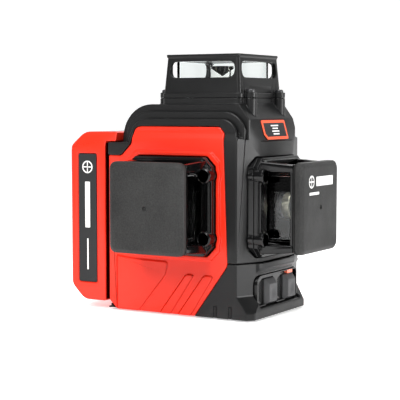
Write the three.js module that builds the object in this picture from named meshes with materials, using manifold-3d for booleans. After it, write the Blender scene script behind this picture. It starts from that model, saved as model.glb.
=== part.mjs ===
// Three-plane line laser level.
//
// A moulded body carries three glass-walled cages: on top, on the front (-Y) and on the left side (-X).
// A pendulum in a two-axis gimbal holds three laser barrels, each firing through a cone prism in its cage.
// The battery pack slides down a T-rail on the back (+Y). Two keys sit in a recess low on the front.
//
// Millimetres, +Z up. The body is laid out around the plumb axis, which is x = 0, y = 0, and the whole
// group is then shifted so that its origin is the middle of the box around it, at the base.

import * as THREE from 'three';
import { mergeVertices } from 'three/addons/utils/BufferGeometryUtils.js';
import Module from 'manifold-3d';

const wasm = await Module();
wasm.setup();

// ---------------------------------------------------------------- driving dimensions
const gap = 0.3;                 // clearance between neighbouring pieces
const wall = 2.2;                // housing wall
const innerWall = 1.8;           // housing wall behind the side panels

const bodyHalf = 32;             // half width of the body, outside the side panels
const bodyRear = 52.9;           // y of the body's rear face
const frontFace = 33;            // distance of the front face in front of the plumb axis
const leftCorner = 26;           // where the left side face ends and the front chamfer starts
const rightCorner = 29;          // the same on the right
const frontFlat = 17.5;          // half width of the flat front between the two chamfers
const baseFront = 35.2;          // front of the chin at the base
const baseChamfer = 3.4;         // corner chamfer of the chin
const chinTop = 12;              // height where the chin starts to flare
const footDrop = 0.8;            // how far the feet stand below the base
const seamHeight = 29.5;         // joint between lower and upper housing
const archTop = 111;             // top of the arched back
const stepLow = archTop - 18.9;  // the sides step in between these two heights
const stepHigh = archTop - 15.1;
const stepIn = 1.6;
const browTop = archTop - 7.5;   // the front leans back between these two heights
const browLow = archTop - 19.5;
const browLean = 3.5;            // y by which it leans back
const browDepth = 9;             // y from the front face to the arch's flat top
const archRadius = 18;           // round rear end of the arch
const archRear = 47.4;           // y where the arch turns vertical
const terraceStep = 3.8;         // each terrace of the arch is this much lower than the next one in
const terraceDepth = 2.5;        // and this much further out
const terraceCount = 2;
const tabHeight = archTop - 20.3;     // top of the tab under the battery pack's lip
const tabFoot = tabHeight - 7;

const panelThickness = 3.2;
const panelTop = archTop - 11.7;
const footPocket = 1.6;
const footRadius = 4;
const footInset = 10;            // foot centre to the body's side
const footFront = -24;
const footRear = bodyRear - 8.9;

const neckHalf = 24;             // square neck under the top cage
const neckTop = archTop + 3.3;
const neckBore = 17;             // half width of the opening through it
const flangeTop = neckTop + 2.3;
const cageTop = flangeTop + 20.4;
const cageTopHalf = 21.8;        // top cage half width at the top
const skirtHalf = 23.3;          // and above its flange
const topWindowLow = cageTop - 12.2;
const topWindowHigh = cageTop - 3.7;
const topWindowHalf = 19.3;
const topRoof = cageTop - 3.4;           // underside of the top cage's roof
const topHollow = 20.3;          // half width of its inside
const topScrewX = 16.1;
const topScrewY = 25.6;
const topLobe = 3.2;

const glassWall = 1.5;
const topGlassHalf = topHollow - 2;

const cageBoreX = 17.2;          // front and side cages: half opening through seal, flange and housing
const cageBoreZ = 18.2;
const capWidth = 2 * (cageBoreX + 5.05);
const capHeight = 2 * (cageBoreZ + 5.3);
const capThickness = 5.5;
const capBevel = 2;
const capSkin = 2.2;
const cageDepth = 29.2;          // mounting plane to the cap's outer face
const plateWidth = 2 * (cageBoreX + 8.5);
const plateHeight = 2 * (cageBoreZ + 7.3);
const plateCorner = 5;
const sealThickness = 3.1;
const flangeThickness = 3.3;
const bossX = cageBoreX + 5.4;
const bossZ = cageBoreZ - 2;
const bossRadius = 3.9;
const bossRise = 2;
const postSize = 4;
const ringThickness = 2.6;
const frontCageZ = 58.1;
const sideCageZ = 58.4;
const sideCageY = 11.8;
const frontMount = frontFace - 4;      // distance of the front cage's mounting plane from the plumb axis
const sideMount = bodyHalf - stepIn;   // and of the side cage's

const screwHead = 2.6;           // radii
const screwShank = 1.3;
const screwHeadHeight = 2.2;
const screwHole = 1.6;
const screwReach = 3;            // how far the cage screws reach behind the mounting plane

const keyWidth = 11.5;
const keyHeight = 13.6;
const keyZ = 13.2;
const modeKeyX = -6;
const powerKeyX = 15.6;
const keyFront = frontFace + 1;
const keyDepth = 7.5;            // a key's face to its back
const keyCrown = 1.6;            // thickness of a key's raised face
const keyBevel = 1.2;
const recessLeft = modeKeyX - keyWidth / 2 - 10.25;   // key recess in the front
const recessRight = powerKeyX + keyWidth / 2 + 2.95;
const recessLow = keyZ - keyHeight / 2 - gap;
const recessHigh = keyZ + keyHeight / 2 + 3;
const recessFloor = frontFace - 2.4;
const bezelDepth = 2;
const lightWidth = 6;
const lightHeight = 1.6;
const lightDepth = 2.2;
const stickerWidth = 26.5;
const stickerHeight = 10.2;
const stickerThickness = 0.4;
const stickerRise = 1.3;         // above the foot of the leaning front

const packFront = bodyRear + 1.9;      // battery pack
const packRear = 77.8;
const packBottom = 4.5;
const packTop = archTop - 14.8;
const packWall = 1.6;
const packLipLow = tabHeight + 0.5;
const packLipFront = archRear + 1;
const packChamferTop = 8.2;
const packChamferLow = 8.8;
const packSlope = 2.4;           // the sides lean in by this much above slopeLow
const slopeLow = packTop - 8.1;
const labelLow = 14.2;
const labelHigh = packTop - 11.8;
const labelFront = packFront + 5.6;
const labelRear = packRear - 5.4;
const labelDepth = 0.8;
const cellRadius = 9.15;
const cellLength = 65;
const cellX = 19.2;
const railStem = 3;              // T-rail half widths, depths and ends
const railHead = 6.5;
const railStemDepth = 3.8;
const railHeadDepth = 2.8;
const railLow = 16;
const railHigh = tabHeight - 12.7;
const latchHalf = 22;
const latchFront = packFront + 0.2;
const latchLength = 11;
const latchThickness = 1.6;
const latchDrop = 1.8;           // room under the latch plate
const trayPlate = 1.6;
const contactLeft = 11;
const contactRight = 23;
const contactLow = 18;
const contactHigh = 28;
const contactRelief = 1;         // depth of the pack contacts in the tray

const gimbalZ = archTop - 10;    // pendulum
const hangerHalf = 20.5;
const hangerHigh = gimbalZ + 4;
const barrelRadius = 6.5;
const barrelReach = frontMount + 14.5;   // plumb axis to the front barrel's end
const sideReach = sideMount + 14.6;
const topBarrelEnd = cageTop - 13.6;
const prismLength = 7.5;
const pendulumFoot = 33;         // height of the pendulum's lowest point
const swingRadius = gimbalZ - pendulumFoot;   // the foot is part of this sphere about the gimbal
const lockTravel = 3;
const lockSlide = 8;
const lockStart = 2;             // y of the lock's groove, its length and its heights
const lockLength = 20;
const lockLow = 14;
const lockHigh = 19;
const lockDepth = 12;
const insertRadius = 6;
const insertTop = 10;
const insertBore = 2.55;         // 1/4 in thread, drawn as its drilled bore
const centrePostRadius = 9;
const centrePostTop = 26;
const centrePostBore = 4.3;
const hangerBore = 17;
const ringOuter = 15.6;
const ringInner = 12.2;
const ringHalfHeight = 3;
const collarOuter = 11;
const trunnion = 1.5;
const blockTop = gimbalZ - 11;
const blockLow = 47;
const blockWall = 2.3;           // pendulum block around the barrels it holds
const rootDepth = 23;            // top barrel's root below the gimbal
const weightRadius = 8;
const damperLow = 34.9;
const damperThickness = 2;
const damperRadius = 14;
const magnetRadius = 15;
const magnetGap = 0.6;
const boardHalf = 22;
const boardThickness = 1.6;
const boardLow = 34;
const boardHigh = tabHeight - 8.7;
const beyond = 200;              // longer than the level in every direction

// ---------------------------------------------------------------- materials
function finish(color, roughness, metalness = 0) {
  return new THREE.MeshStandardMaterial({ color, roughness, metalness });
}
const redPlastic = finish(0xe8402e, 0.45);
const blackPlastic = finish(0x2c2c2d, 0.5);
const glossBlack = finish(0x101010, 0.18);
const capPlastic = finish(0x393939, 0.75);
const darkRubber = finish(0x1a1a1a, 0.85);
const keyPlastic = finish(0x4a4a4a, 0.6);
const clearGlass = finish(0xe4ebec, 0.05);
const steel = finish(0x8f9194, 0.35, 1);
const brass = finish(0xc6a663, 0.35, 1);
const copper = finish(0xb87048, 0.35, 1);
const anodised = finish(0x55585c, 0.4, 1);
const boardGreen = finish(0x1f5a38, 0.6);
const cellWrap = finish(0x3a6ea8, 0.5);
const lampRed = finish(0xff5a2a, 0.3);
const labelBlack = finish(0x333536, 0.6);

// ---------------------------------------------------------------- outlines
const halfTurn = Math.PI;

function arc(cx, cy, radius, from, to, steps) {
  const points = [];
  for (let i = 0; i <= steps; i += 1) {
    const angle = from + ((to - from) * i) / steps;
    points.push([cx + radius * Math.cos(angle), cy + radius * Math.sin(angle)]);
  }
  return points;
}

function rectangle(left, low, right, high) {
  return [[left, low], [right, low], [right, high], [left, high]];
}

function roundedRectangle(left, low, right, high, radius, steps = 3) {
  const quarter = halfTurn / 2;
  return [
    ...arc(right - radius, low + radius, radius, -quarter, 0, steps),
    ...arc(right - radius, high - radius, radius, 0, quarter, steps),
    ...arc(left + radius, high - radius, radius, quarter, halfTurn, steps),
    ...arc(left + radius, low + radius, radius, halfTurn, 3 * quarter, steps),
  ];
}

// A counter-clockwise outline moved inwards by a distance.
function inset(points, distance) {
  const count = points.length;
  const lines = points.map((start, i) => {
    const end = points[(i + 1) % count];
    const length = Math.hypot(end[0] - start[0], end[1] - start[1]);
    const along = [(end[0] - start[0]) / length, (end[1] - start[1]) / length];
    return { at: [start[0] - along[1] * distance, start[1] + along[0] * distance], along };
  });
  return points.map((point, i) => {
    const before = lines[(i + count - 1) % count];
    const after = lines[i];
    const cross = before.along[0] * after.along[1] - before.along[1] * after.along[0];
    const shift = (after.at[0] - before.at[0]) * after.along[1]
      - (after.at[1] - before.at[1]) * after.along[0];
    const t = shift / cross;
    return [before.at[0] + before.along[0] * t, before.at[1] + before.along[1] * t];
  });
}

// ---------------------------------------------------------------- solids
function solid(geometry) {
  const bare = geometry.clone();
  bare.deleteAttribute('normal');
  bare.deleteAttribute('uv');
  const merged = mergeVertices(bare, 1e-4);
  return new wasm.Manifold(new wasm.Mesh({
    numProp: 3,
    vertProperties: new Float32Array(merged.attributes.position.array),
    triVerts: new Uint32Array(merged.index.array),
  }));
}

function extrude(points, depth) {
  const shape = new THREE.Shape(points.map(([x, y]) => new THREE.Vector2(x, y)));
  return new THREE.ExtrudeGeometry(shape, { depth, bevelEnabled: false, curveSegments: 1 });
}

// Outline in (y, z), running along x.
function prismX(points, from, to) {
  const turn = new THREE.Matrix4().makeBasis(
    new THREE.Vector3(0, 1, 0), new THREE.Vector3(0, 0, 1), new THREE.Vector3(1, 0, 0));
  return solid(extrude(points, to - from).applyMatrix4(turn).translate(from, 0, 0));
}

// Outline in (x, z), running along y.
function prismY(points, from, to) {
  return solid(extrude(points, to - from).rotateX(halfTurn / 2).translate(0, to, 0));
}

// Outline in (x, y), running along z.
function prismZ(points, from, to) {
  return solid(extrude(points, to - from).translate(0, 0, from));
}

function box(low, high) {
  const size = high.map((value, i) => value - low[i]);
  const middle = high.map((value, i) => (value + low[i]) / 2);
  return solid(new THREE.BoxGeometry(...size).translate(...middle));
}

// A rod between two points on a line parallel to an axis.
function rod(axis, centre, from, to, radius, sides = 16) {
  const geometry = new THREE.CylinderGeometry(radius, radius, to - from, sides);
  if (axis === 'x') geometry.rotateZ(halfTurn / 2);
  if (axis === 'z') geometry.rotateX(halfTurn / 2);
  const middle = (from + to) / 2;
  const place = {
    x: [middle, centre[0], centre[1]],
    y: [centre[0], middle, centre[1]],
    z: [centre[0], centre[1], middle],
  }[axis];
  return solid(geometry.translate(...place));
}

// A turned piece about the z axis from an outline of (radius, height) that starts and ends on the axis.
function turned(points, sides = 24) {
  return solid(new THREE.LatheGeometry(points.map(([r, z]) => new THREE.Vector2(r, z)), sides)
    .rotateX(halfTurn / 2));
}

function join(...pieces) {
  return pieces.reduce((sum, piece) => sum.add(piece));
}

function cut(body, ...tools) {
  return tools.reduce((rest, tool) => rest.subtract(tool), body);
}

const group = new THREE.Group();

function part(name, piece, material, parent = group) {
  const { vertProperties, triVerts } = piece.getMesh();
  const geometry = new THREE.BufferGeometry();
  geometry.setAttribute('position', new THREE.BufferAttribute(new Float32Array(vertProperties), 3));
  geometry.setIndex(new THREE.BufferAttribute(new Uint32Array(triVerts), 1));
  geometry.computeVertexNormals();
  const mesh = new THREE.Mesh(geometry, material);
  mesh.name = name;
  parent.add(mesh);
  return mesh;
}

// ---------------------------------------------------------------- outer cages
// The front and side cages are alike. Each is laid out with its mounting plane on y = 0,
// its outward direction along -y and its middle on the z = 0 line.

function lobedPlate(extra = 0) {
  const half = [plateWidth / 2 + extra, plateHeight / 2 + extra];
  const corner = plateCorner;
  return [
    [-half[0], -half[1] + corner], [-half[0] + corner, -half[1]],
    [half[0] - corner, -half[1]], [half[0], -half[1] + corner],
    [half[0], half[1] - corner], [half[0] - corner, half[1]],
    [-half[0] + corner, half[1]], [-half[0], half[1] - corner],
  ];
}

function bossPlaces() {
  return [[-bossX, bossZ], [bossX, bossZ], [bossX, -bossZ], [-bossX, -bossZ]];
}

function cageOutline(from, to, extra = 0) {
  const lobes = bossPlaces().map((place) => rod('y', place, from, to, bossRadius + extra));
  return join(prismY(lobedPlate(extra), from, to), ...lobes);
}

function cageBore(from, to, extra = 0) {
  const x = cageBoreX + extra;
  const z = cageBoreZ + extra;
  return prismY(roundedRectangle(-x, -z, x, z, 3), from, to);
}

function screwHoles(from, to, radius) {
  return bossPlaces().map((place) => rod('y', place, from, to, radius, 12));
}

const sealFace = gap + sealThickness;
const flangeBack = sealFace + gap;
const flangeFace = flangeBack + flangeThickness;
const capBack = cageDepth - capThickness;
const ringFace = capBack - gap;
const ringBack = ringFace - ringThickness;

function cageFrame() {
  const x = capWidth / 2 - capBevel / 2;
  const z = capHeight / 2 - capBevel / 2;
  const posts = [];
  for (const side of [-1, 1]) {
    for (const level of [-1, 1]) {
      const middle = [side * (cageBoreX + postSize / 2 + gap), level * (cageBoreZ + postSize / 2 + gap)];
      const half = postSize / 2;
      posts.push(box([middle[0] - half, -ringFace, middle[1] - half],
        [middle[0] + half, -flangeBack, middle[1] + half]));
    }
  }
  const bosses = bossPlaces().map(
    (place) => rod('y', place, -flangeFace - bossRise, -flangeBack, bossRadius));
  const ring = prismY(roundedRectangle(-x, -z, x, z, 3), -ringFace, -ringBack);
  const frame = join(cageOutline(-flangeFace, -flangeBack), ring, ...posts, ...bosses);
  const counterbore = screwHoles(-flangeFace - bossRise - 1, -flangeFace + 1, screwHead + gap);
  return cut(frame, cageBore(-cageDepth, 1), ...counterbore, ...screwHoles(-cageDepth, 0, screwHole));
}

function cageGlass() {
  const outer = cageBore(-ringFace, -1, -gap * 2);
  return cut(outer, cageBore(-cageDepth, 0, -gap * 2 - glassWall));
}

function cageCap() {
  const x = capWidth / 2;
  const z = capHeight / 2;
  const face = roundedRectangle(-x, -z, x, z, 2.5, 2);
  const shape = new THREE.Shape(inset(face, capBevel).map(([a, b]) => new THREE.Vector2(a, b)));
  const plate = new THREE.ExtrudeGeometry(shape, {
    depth: capThickness - capBevel, bevelEnabled: true, bevelSegments: 1,
    bevelSize: capBevel, bevelThickness: capBevel,
  });
  const both = solid(plate.rotateX(halfTurn / 2).translate(0, -capBack, 0));
  const lower = prismY(face, -capBack - capThickness + capBevel, -capBack);
  const kept = box([-x, -cageDepth, -z], [x, -capBack, z]);
  const dimple = rod('y', [0, 0], -cageDepth - 1, -cageDepth + 1, 1.2, 12);
  const hollow = cageBore(-cageDepth + capSkin, 0);
  return cut(join(both, lower).intersect(kept), dimple, hollow);
}

function cageScrew(place) {
  const face = -flangeFace + 1 - gap;
  const head = rod('y', place, face - screwHeadHeight, face, screwHead);
  return join(head, rod('y', place, face - 1, screwReach, screwShank, 12));
}

function buildCage(prefix, parent) {
  const seal = cut(cageOutline(-sealFace, -gap), cageBore(-cageDepth, 1),
    ...screwHoles(-cageDepth, 1, screwHole));
  part(`${prefix}_seal`, seal, glossBlack, parent);
  part(`${prefix}_frame`, cageFrame(), glossBlack, parent);
  part(`${prefix}_glass`, cageGlass(), clearGlass, parent);
  part(`${prefix}_cap`, cageCap(), capPlastic, parent);
  bossPlaces().forEach((place, i) => part(`${prefix}_screw_${i + 1}`, cageScrew(place), steel, parent));
}

const frontCage = new THREE.Group();
frontCage.position.set(0, -frontMount, frontCageZ);
buildCage('front_cage', frontCage);
group.add(frontCage);

const sideCage = new THREE.Group();
sideCage.position.set(-sideMount, sideCageY, sideCageZ);
sideCage.rotation.z = -halfTurn / 2;
buildCage('side_cage', sideCage);
group.add(sideCage);

// The room that each cage takes in the housing, in the body's own frame.
const toFront = (piece) => piece.translate([0, -frontMount, frontCageZ]);
const toSide = (piece) => piece.rotate([0, 0, -90]).translate([-sideMount, sideCageY, sideCageZ]);

// ---------------------------------------------------------------- body shell
const panelFoot = bodyHalf - panelThickness;

// Side view of one terrace of the arched body, stepped in from the full arch by a distance.
function archOutline(step) {
  const radius = archRadius - step;
  const frontTop = archTop - step;
  return [
    [bodyRear, tabHeight], [archRear - step, tabHeight],
    ...arc(archRear - archRadius, archTop - archRadius, radius, 0, halfTurn / 2, 6),
    [-frontFace + browDepth + step, frontTop],
    [-frontFace + browLean + step, browTop - step],
    [-frontFace + step, browLow],
  ];
}

function planOutline(extra = 0) {
  const half = bodyHalf - extra;
  const front = frontFace - extra;
  return [
    [-half, -leftCorner], [-frontFlat, -front], [frontFlat, -front], [half, -rightCorner],
    [half, bodyRear - extra], [-half, bodyRear - extra],
  ];
}

function bodyBlock() {
  const slabs = [];
  for (let k = 0; k <= terraceCount; k += 1) {
    const half = bodyHalf - stepIn - terraceDepth * (terraceCount - k);
    const step = terraceStep * k;
    const side = [...archOutline(step), [-frontFace + step, 60], [bodyRear, 60]];
    slabs.push(prismX(side, -half, half));
  }
  const upper = join(...slabs).intersect(prismZ(planOutline(), 60, archTop));
  const lowerSide = [
    [-bodyHalf, 0], [bodyHalf, 0], [bodyHalf, stepLow], [bodyHalf - stepIn, stepHigh],
    [-bodyHalf + stepIn, stepHigh], [-bodyHalf, stepLow],
  ];
  const lower = prismY(lowerSide, -frontFace, bodyRear).intersect(prismZ(planOutline(), footDrop, stepHigh));
  const arch = archOutline(terraceStep * terraceCount);
  const under = prismX([...arch, [-frontFace, 0], [bodyRear, 0]], -bodyHalf, bodyHalf);
  const chin = prismX([
    [-baseFront, footDrop], [-20, footDrop], [-20, chinTop], [-frontFace, chinTop], [-baseFront, 4.2],
  ], -bodyHalf, bodyHalf);
  const inner = bodyHalf - baseChamfer;
  const chinPlan = prismZ([
    [-bodyHalf, -baseFront + baseChamfer], [-inner, -baseFront], [inner, -baseFront],
    [bodyHalf, -baseFront + baseChamfer], [bodyHalf, -20], [-bodyHalf, -20],
  ], 0, chinTop + 1);
  return join(upper, lower.intersect(under), chin.intersect(chinPlan));
}

function neck() {
  const shape = roundedRectangle(-neckHalf, -neckHalf, neckHalf, neckHalf, 4);
  const lobes = topScrewPlaces().map((place) => rod('z', place, archTop - 2, neckTop, topLobe));
  return join(prismZ(shape, archTop - 6, neckTop), ...lobes);
}

function topScrewPlaces() {
  return [[-topScrewX, -topScrewY], [topScrewX, -topScrewY], [topScrewX, topScrewY], [-topScrewX, topScrewY]];
}

function cavity() {
  const inner = panelFoot - gap - innerWall;
  const slabs = prismZ([
    [-inner, -leftCorner + 1], [-frontFlat + 2, -frontMount + wall + 1.5],
    [frontFlat - 2, -frontMount + wall + 1.5], [inner, -rightCorner + 4],
    [inner, bodyRear - wall], [-inner, bodyRear - wall],
  ], footDrop + wall, stepLow - 3);
  const top = archTop - wall - terraceStep * terraceCount;
  const upper = prismX([
    [-frontFace + 9, stepLow - 4], [archRear - 12, stepLow - 4], [archRear - 12, top - 8],
    [archRear - 20, top], [-frontFace + 11, top],
  ], -inner + terraceDepth, inner - terraceDepth);
  const hangerRoom = hangerHalf + gap;
  const neckRoom = box([-hangerRoom, -hangerRoom, stepLow], [hangerRoom, hangerRoom, hangerHigh]);
  return join(slabs, upper, neckRoom);
}

// Side panels: the outline in (y, z), and the same outline a clearance larger for the pocket.
function panelOutline(extra = 0) {
  return inset([
    [-0.9, footDrop], [47.8, footDrop], [bodyRear - gap, 5.3], [bodyRear - gap, tabFoot],
    [44.5, tabFoot], [38.2, tabHeight - 0.7], [36.6, panelTop],
    [-15.2, panelTop], [-17.9, panelTop - 2.7], [-20.4, 28],
  ], -extra);
}

function panelPocket(side) {
  const from = side < 0 ? -bodyHalf - 1 : panelFoot - gap;
  const to = side < 0 ? -panelFoot + gap : bodyHalf + 1;
  const open = join(prismX(panelOutline(gap), from, to),
    box([from, -1.4, -1], [to, bodyRear + 1, footDrop + 1]),
    box([from, bodyRear - 2, 4], [to, bodyRear + 1, tabFoot + gap]));
  return open;
}

function sidePanel(side) {
  const from = side < 0 ? -bodyHalf : panelFoot;
  const to = side < 0 ? -panelFoot : bodyHalf;
  const slab = prismX(panelOutline(), from, to);
  const upperHalf = bodyHalf - stepIn;
  const stepped = prismY([
    [-bodyHalf, 0], [bodyHalf, 0], [bodyHalf, stepLow], [upperHalf, stepHigh],
    [upperHalf, archTop], [-upperHalf, archTop], [-upperHalf, stepHigh], [-bodyHalf, stepLow],
  ], -frontFace, bodyRear);
  return slab.intersect(stepped);
}

// The side cage stands on this pad, which fills the panel's opening down to the housing.
function sideCagePad() {
  return toSide(cageOutline(0, sideMount - panelFoot + 1));
}

function keyOpenings(extra, from, to) {
  return [modeKeyX, powerKeyX].map((x) => prismY(rectangle(
    x - keyWidth / 2 - extra, keyZ - keyHeight / 2 - extra,
    x + keyWidth / 2 + extra, keyZ + keyHeight / 2 + extra), from, to));
}

function rearRail() {
  const rear = bodyRear;
  return prismZ([
    [-railStem, rear - 1], [railStem, rear - 1], [railStem, rear + railStemDepth],
    [railHead, rear + railStemDepth], [railHead, rear + railStemDepth + railHeadDepth],
    [-railHead, rear + railStemDepth + railHeadDepth], [-railHead, rear + railStemDepth],
    [-railStem, rear + railStemDepth],
  ], railLow, railHigh);
}

const bodyShell = cut(join(bodyBlock(), neck()), cavity(), panelPocket(-1), panelPocket(1));
const mountRooms = [
  toFront(cageOutline(-cageDepth, 0, gap)),
  toFront(cageBore(-1, 9)),
  toSide(cageBore(-1, 9)),
  ...screwHoles(-1, 3.5, screwHole).map(toFront),
  ...screwHoles(-1, 3.5, screwHole).map(toSide),
];
const lowest = -1;
const upperRoom = box([-beyond, -beyond, seamHeight + gap / 2], [beyond, beyond, beyond]);
const lowerRoom = box([-beyond, -beyond, lowest], [beyond, beyond, seamHeight - gap / 2]);

const upperHousing = cut(
  join(bodyShell, sideCagePad(), rearRail()).intersect(upperRoom),
  ...mountRooms,
  prismZ(rectangle(-neckBore, -neckBore, neckBore, neckBore), archTop - 14, neckTop + 1),
  ...topScrewPlaces().map((place) => rod('z', place, neckTop - 8, neckTop + 1, screwHole, 12)),
  toSide(cageOutline(-cageDepth, 0, gap)),
);
part('upper_housing', upperHousing, blackPlastic);

const footX = bodyHalf - footInset;
const footPlaces = [[-footX, footFront], [footX, footFront], [footX, footRear], [-footX, footRear]];
const lockGroove = box([bodyHalf - lockDepth, lockStart, lockLow],
  [bodyHalf + 1, lockStart + lockLength, lockHigh]);
const lowerHousing = cut(
  join(
    join(bodyShell, rearRail()).intersect(lowerRoom),
    rod('z', [0, 0], footDrop + 1, centrePostTop, centrePostRadius, 24),
  ),
  ...footPlaces.map((place) => rod('z', place, lowest, footDrop + footPocket, footRadius + gap)),
  rod('z', [0, 0], lowest, insertTop + gap, insertRadius + gap, 24),
  rod('z', [0, 0], 0, centrePostTop + 1, centrePostBore),
  prismY(rectangle(recessLeft, recessLow, recessRight, recessHigh),
    -baseFront - 1, -recessFloor + bezelDepth + gap),
  ...keyOpenings(gap, -baseFront, -frontFace + keyDepth + 5.5),
  lockGroove,
);
part('lower_housing', lowerHousing, blackPlastic);

const leftPanel = cut(sidePanel(-1), toSide(cageOutline(-cageDepth, 9, gap)));
part('left_side_panel', leftPanel, redPlastic);
part('right_side_panel', cut(sidePanel(1), lockGroove), redPlastic);

footPlaces.forEach((place, i) => {
  part(`foot_${i + 1}`, rod('z', place, 0, footDrop + footPocket - gap, footRadius), darkRubber);
});

const insert = cut(
  rod('z', [0, 0], footDrop, insertTop, insertRadius, 24),
  rod('z', [0, 0], lowest, insertTop + 1, insertBore, 16),
);
part('tripod_insert', insert, brass);

// ---------------------------------------------------------------- top cage
function topWindows() {
  const radius = (topWindowHigh - topWindowLow) / 2;
  const outline = roundedRectangle(-topWindowHalf, topWindowLow, topWindowHalf, topWindowHigh, radius, 4);
  return [prismX(outline, -beyond, beyond), prismY(outline, -beyond, beyond)];
}

function taperedBlock(lowHalf, low, highHalf, high) {
  const side = [[-lowHalf, low], [lowHalf, low], [highHalf, high], [-highHalf, high]];
  return prismX(side, -lowHalf, lowHalf).intersect(prismY(side, -lowHalf, lowHalf));
}

function topCage() {
  const square = roundedRectangle(-neckHalf, -neckHalf, neckHalf, neckHalf, 3);
  const flange = prismZ(square, neckTop + gap, flangeTop);
  const lobes = topScrewPlaces().map((place) => rod('z', place, neckTop + gap, flangeTop, topLobe));
  const skirt = taperedBlock(skirtHalf, neckTop + gap, cageTopHalf, cageTop);
  const hollow = box([-topHollow, -topHollow, neckTop - 1], [topHollow, topHollow, topRoof]);
  const holes = topScrewPlaces().flatMap((place) => [
    rod('z', place, neckTop - 1, flangeTop + 1, screwHole, 12),
    rod('z', place, flangeTop, flangeTop + 5, screwHead, 12),
  ]);
  return cut(join(flange, ...lobes, skirt), hollow, ...topWindows(), ...holes);
}
part('top_cage', topCage(), blackPlastic);

const topGlass = cut(
  prismZ(roundedRectangle(-topGlassHalf, -topGlassHalf, topGlassHalf, topGlassHalf, 2, 2),
    neckTop + gap, topRoof - gap),
  prismZ(rectangle(-topGlassHalf + glassWall, -topGlassHalf + glassWall,
    topGlassHalf - glassWall, topGlassHalf - glassWall), neckTop - 1, topRoof + 1),
);
part('top_glass', topGlass, clearGlass);

topScrewPlaces().forEach((place, i) => {
  const head = rod('z', place, flangeTop + gap, flangeTop + screwHeadHeight, screwHead - gap, 12);
  const shank = rod('z', place, neckTop - 7, flangeTop + 1, screwShank, 12);
  part(`top_cage_screw_${i + 1}`, join(head, shank), steel);
});

// ---------------------------------------------------------------- keys and front details
const bezel = cut(
  prismY(rectangle(recessLeft + gap, recessLow + gap, recessRight - gap, recessHigh - gap),
    -recessFloor, -recessFloor + bezelDepth),
  ...keyOpenings(gap, -beyond, 0),
);
part('key_bezel', bezel, glossBlack);

function pressKey(x) {
  const half = keyWidth / 2;
  const keyLow = keyZ - keyHeight / 2;
  const outline = (d) => rectangle(x - half + d, keyLow + d, x + half - d, keyLow + keyHeight - d);
  const stalk = prismY(outline(0), -keyFront + keyCrown, -keyFront + keyDepth);
  const face = prismY(outline(keyBevel), -keyFront, -keyFront + keyCrown + 0.4);
  return join(stalk, face);
}
part('mode_key', pressKey(modeKeyX), keyPlastic);
part('power_key', pressKey(powerKeyX), keyPlastic);

const lightTop = recessHigh - 2 * gap;
const light = prismY(
  rectangle(powerKeyX - lightWidth / 2, lightTop - lightHeight, powerKeyX + lightWidth / 2, lightTop),
  -recessFloor - lightDepth, -recessFloor - gap);
part('status_light', light, lampRed);

// The warning plate follows the sloping upper front face.
const stickerLean = Math.atan2(browLean, browTop - browLow);
const stickerPlate = rectangle(-stickerWidth / 2, 0, stickerWidth / 2, stickerHeight);
const sticker = prismY(stickerPlate, -stickerThickness, 0)
  .rotate([-(stickerLean * 180) / halfTurn, 0, 0])
  .translate([0, -frontFace - gap + stickerRise * Math.tan(stickerLean), browLow + stickerRise]);
part('warning_sticker', sticker, labelBlack);

// ---------------------------------------------------------------- battery pack
function packOutline(extra = 0) {
  return inset([
    [packFront, packBottom], [packRear - packChamferLow, packBottom],
    [packRear, packBottom + packChamferLow], [packRear, packTop - packChamferTop],
    [packRear - packChamferTop, packTop], [packLipFront, packTop], [packLipFront, packLipLow],
    [packFront, packLipLow],
  ], extra);
}

function packSlot(extra = 0) {
  const rear = bodyRear;
  const stem = railStem + gap + extra;
  const head = railHead + gap + extra;
  return [
    box([-stem, rear, packBottom - 1], [stem, rear + railStemDepth + 1, railHigh + 1]),
    box([-head, rear + railStemDepth - gap, packBottom - 1],
      [head, rear + railStemDepth + railHeadDepth + gap + extra, railHigh + 1]),
  ];
}

const trayFront = packFront + gap;
const trayHalf = bodyHalf - packWall - gap;
const channelHalf = railHead + 2;
const channelRear = bodyRear + railStemDepth + railHeadDepth + 1.8;

function packCover() {
  const outer = prismX(packOutline(), -bodyHalf, bodyHalf);
  const lean = prismY([
    [-bodyHalf, 0], [bodyHalf, 0], [bodyHalf, slopeLow], [bodyHalf - packSlope, packTop],
    [-bodyHalf + packSlope, packTop], [-bodyHalf, slopeLow],
  ], 0, packRear + 1);
  const inner = packRear - packWall;
  const hollow = prismX([
    [packFront - 1, packBottom + packWall], [inner - packChamferLow, packBottom + packWall],
    [inner, packBottom + packWall + packChamferLow], [inner, packTop - packChamferTop - packWall],
    [inner - 2, packLipLow - packWall], [packFront - 1, packLipLow - packWall],
  ], -bodyHalf + packWall, bodyHalf - packWall);
  const labels = [-1, 1].map((side) => {
    const x = [side * (bodyHalf - labelDepth), side * (bodyHalf + 1)].sort((a, b) => a - b);
    return prismX(rectangle(labelFront, labelLow, labelRear, labelHigh), x[0], x[1]);
  });
  const latchRoom = box([-latchHalf - gap, latchFront - gap, packTop - latchThickness - latchDrop],
    [latchHalf + gap, latchFront + latchLength + gap, packTop + 1]);
  const rail = box([-channelHalf - gap, packFront - 1, packBottom - 1],
    [channelHalf + gap, channelRear + gap, packBottom + packWall + 1]);
  return cut(outer.intersect(lean), hollow, ...labels, latchRoom, rail);
}

part('battery_cover', packCover(), redPlastic);

const tray = cut(
  join(
    box([-trayHalf, trayFront, packBottom + packWall + gap],
      [trayHalf, trayFront + trayPlate, packLipLow - packWall - gap]),
    box([-channelHalf, trayFront, packBottom + gap], [channelHalf, channelRear, railHigh + 4]),
  ),
  ...packSlot(),
  box([contactLeft - gap, packFront - 1, contactLow - gap],
    [contactRight + gap, trayFront + contactRelief, contactHigh + gap]),
);
part('battery_tray', tray, blackPlastic);

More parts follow.
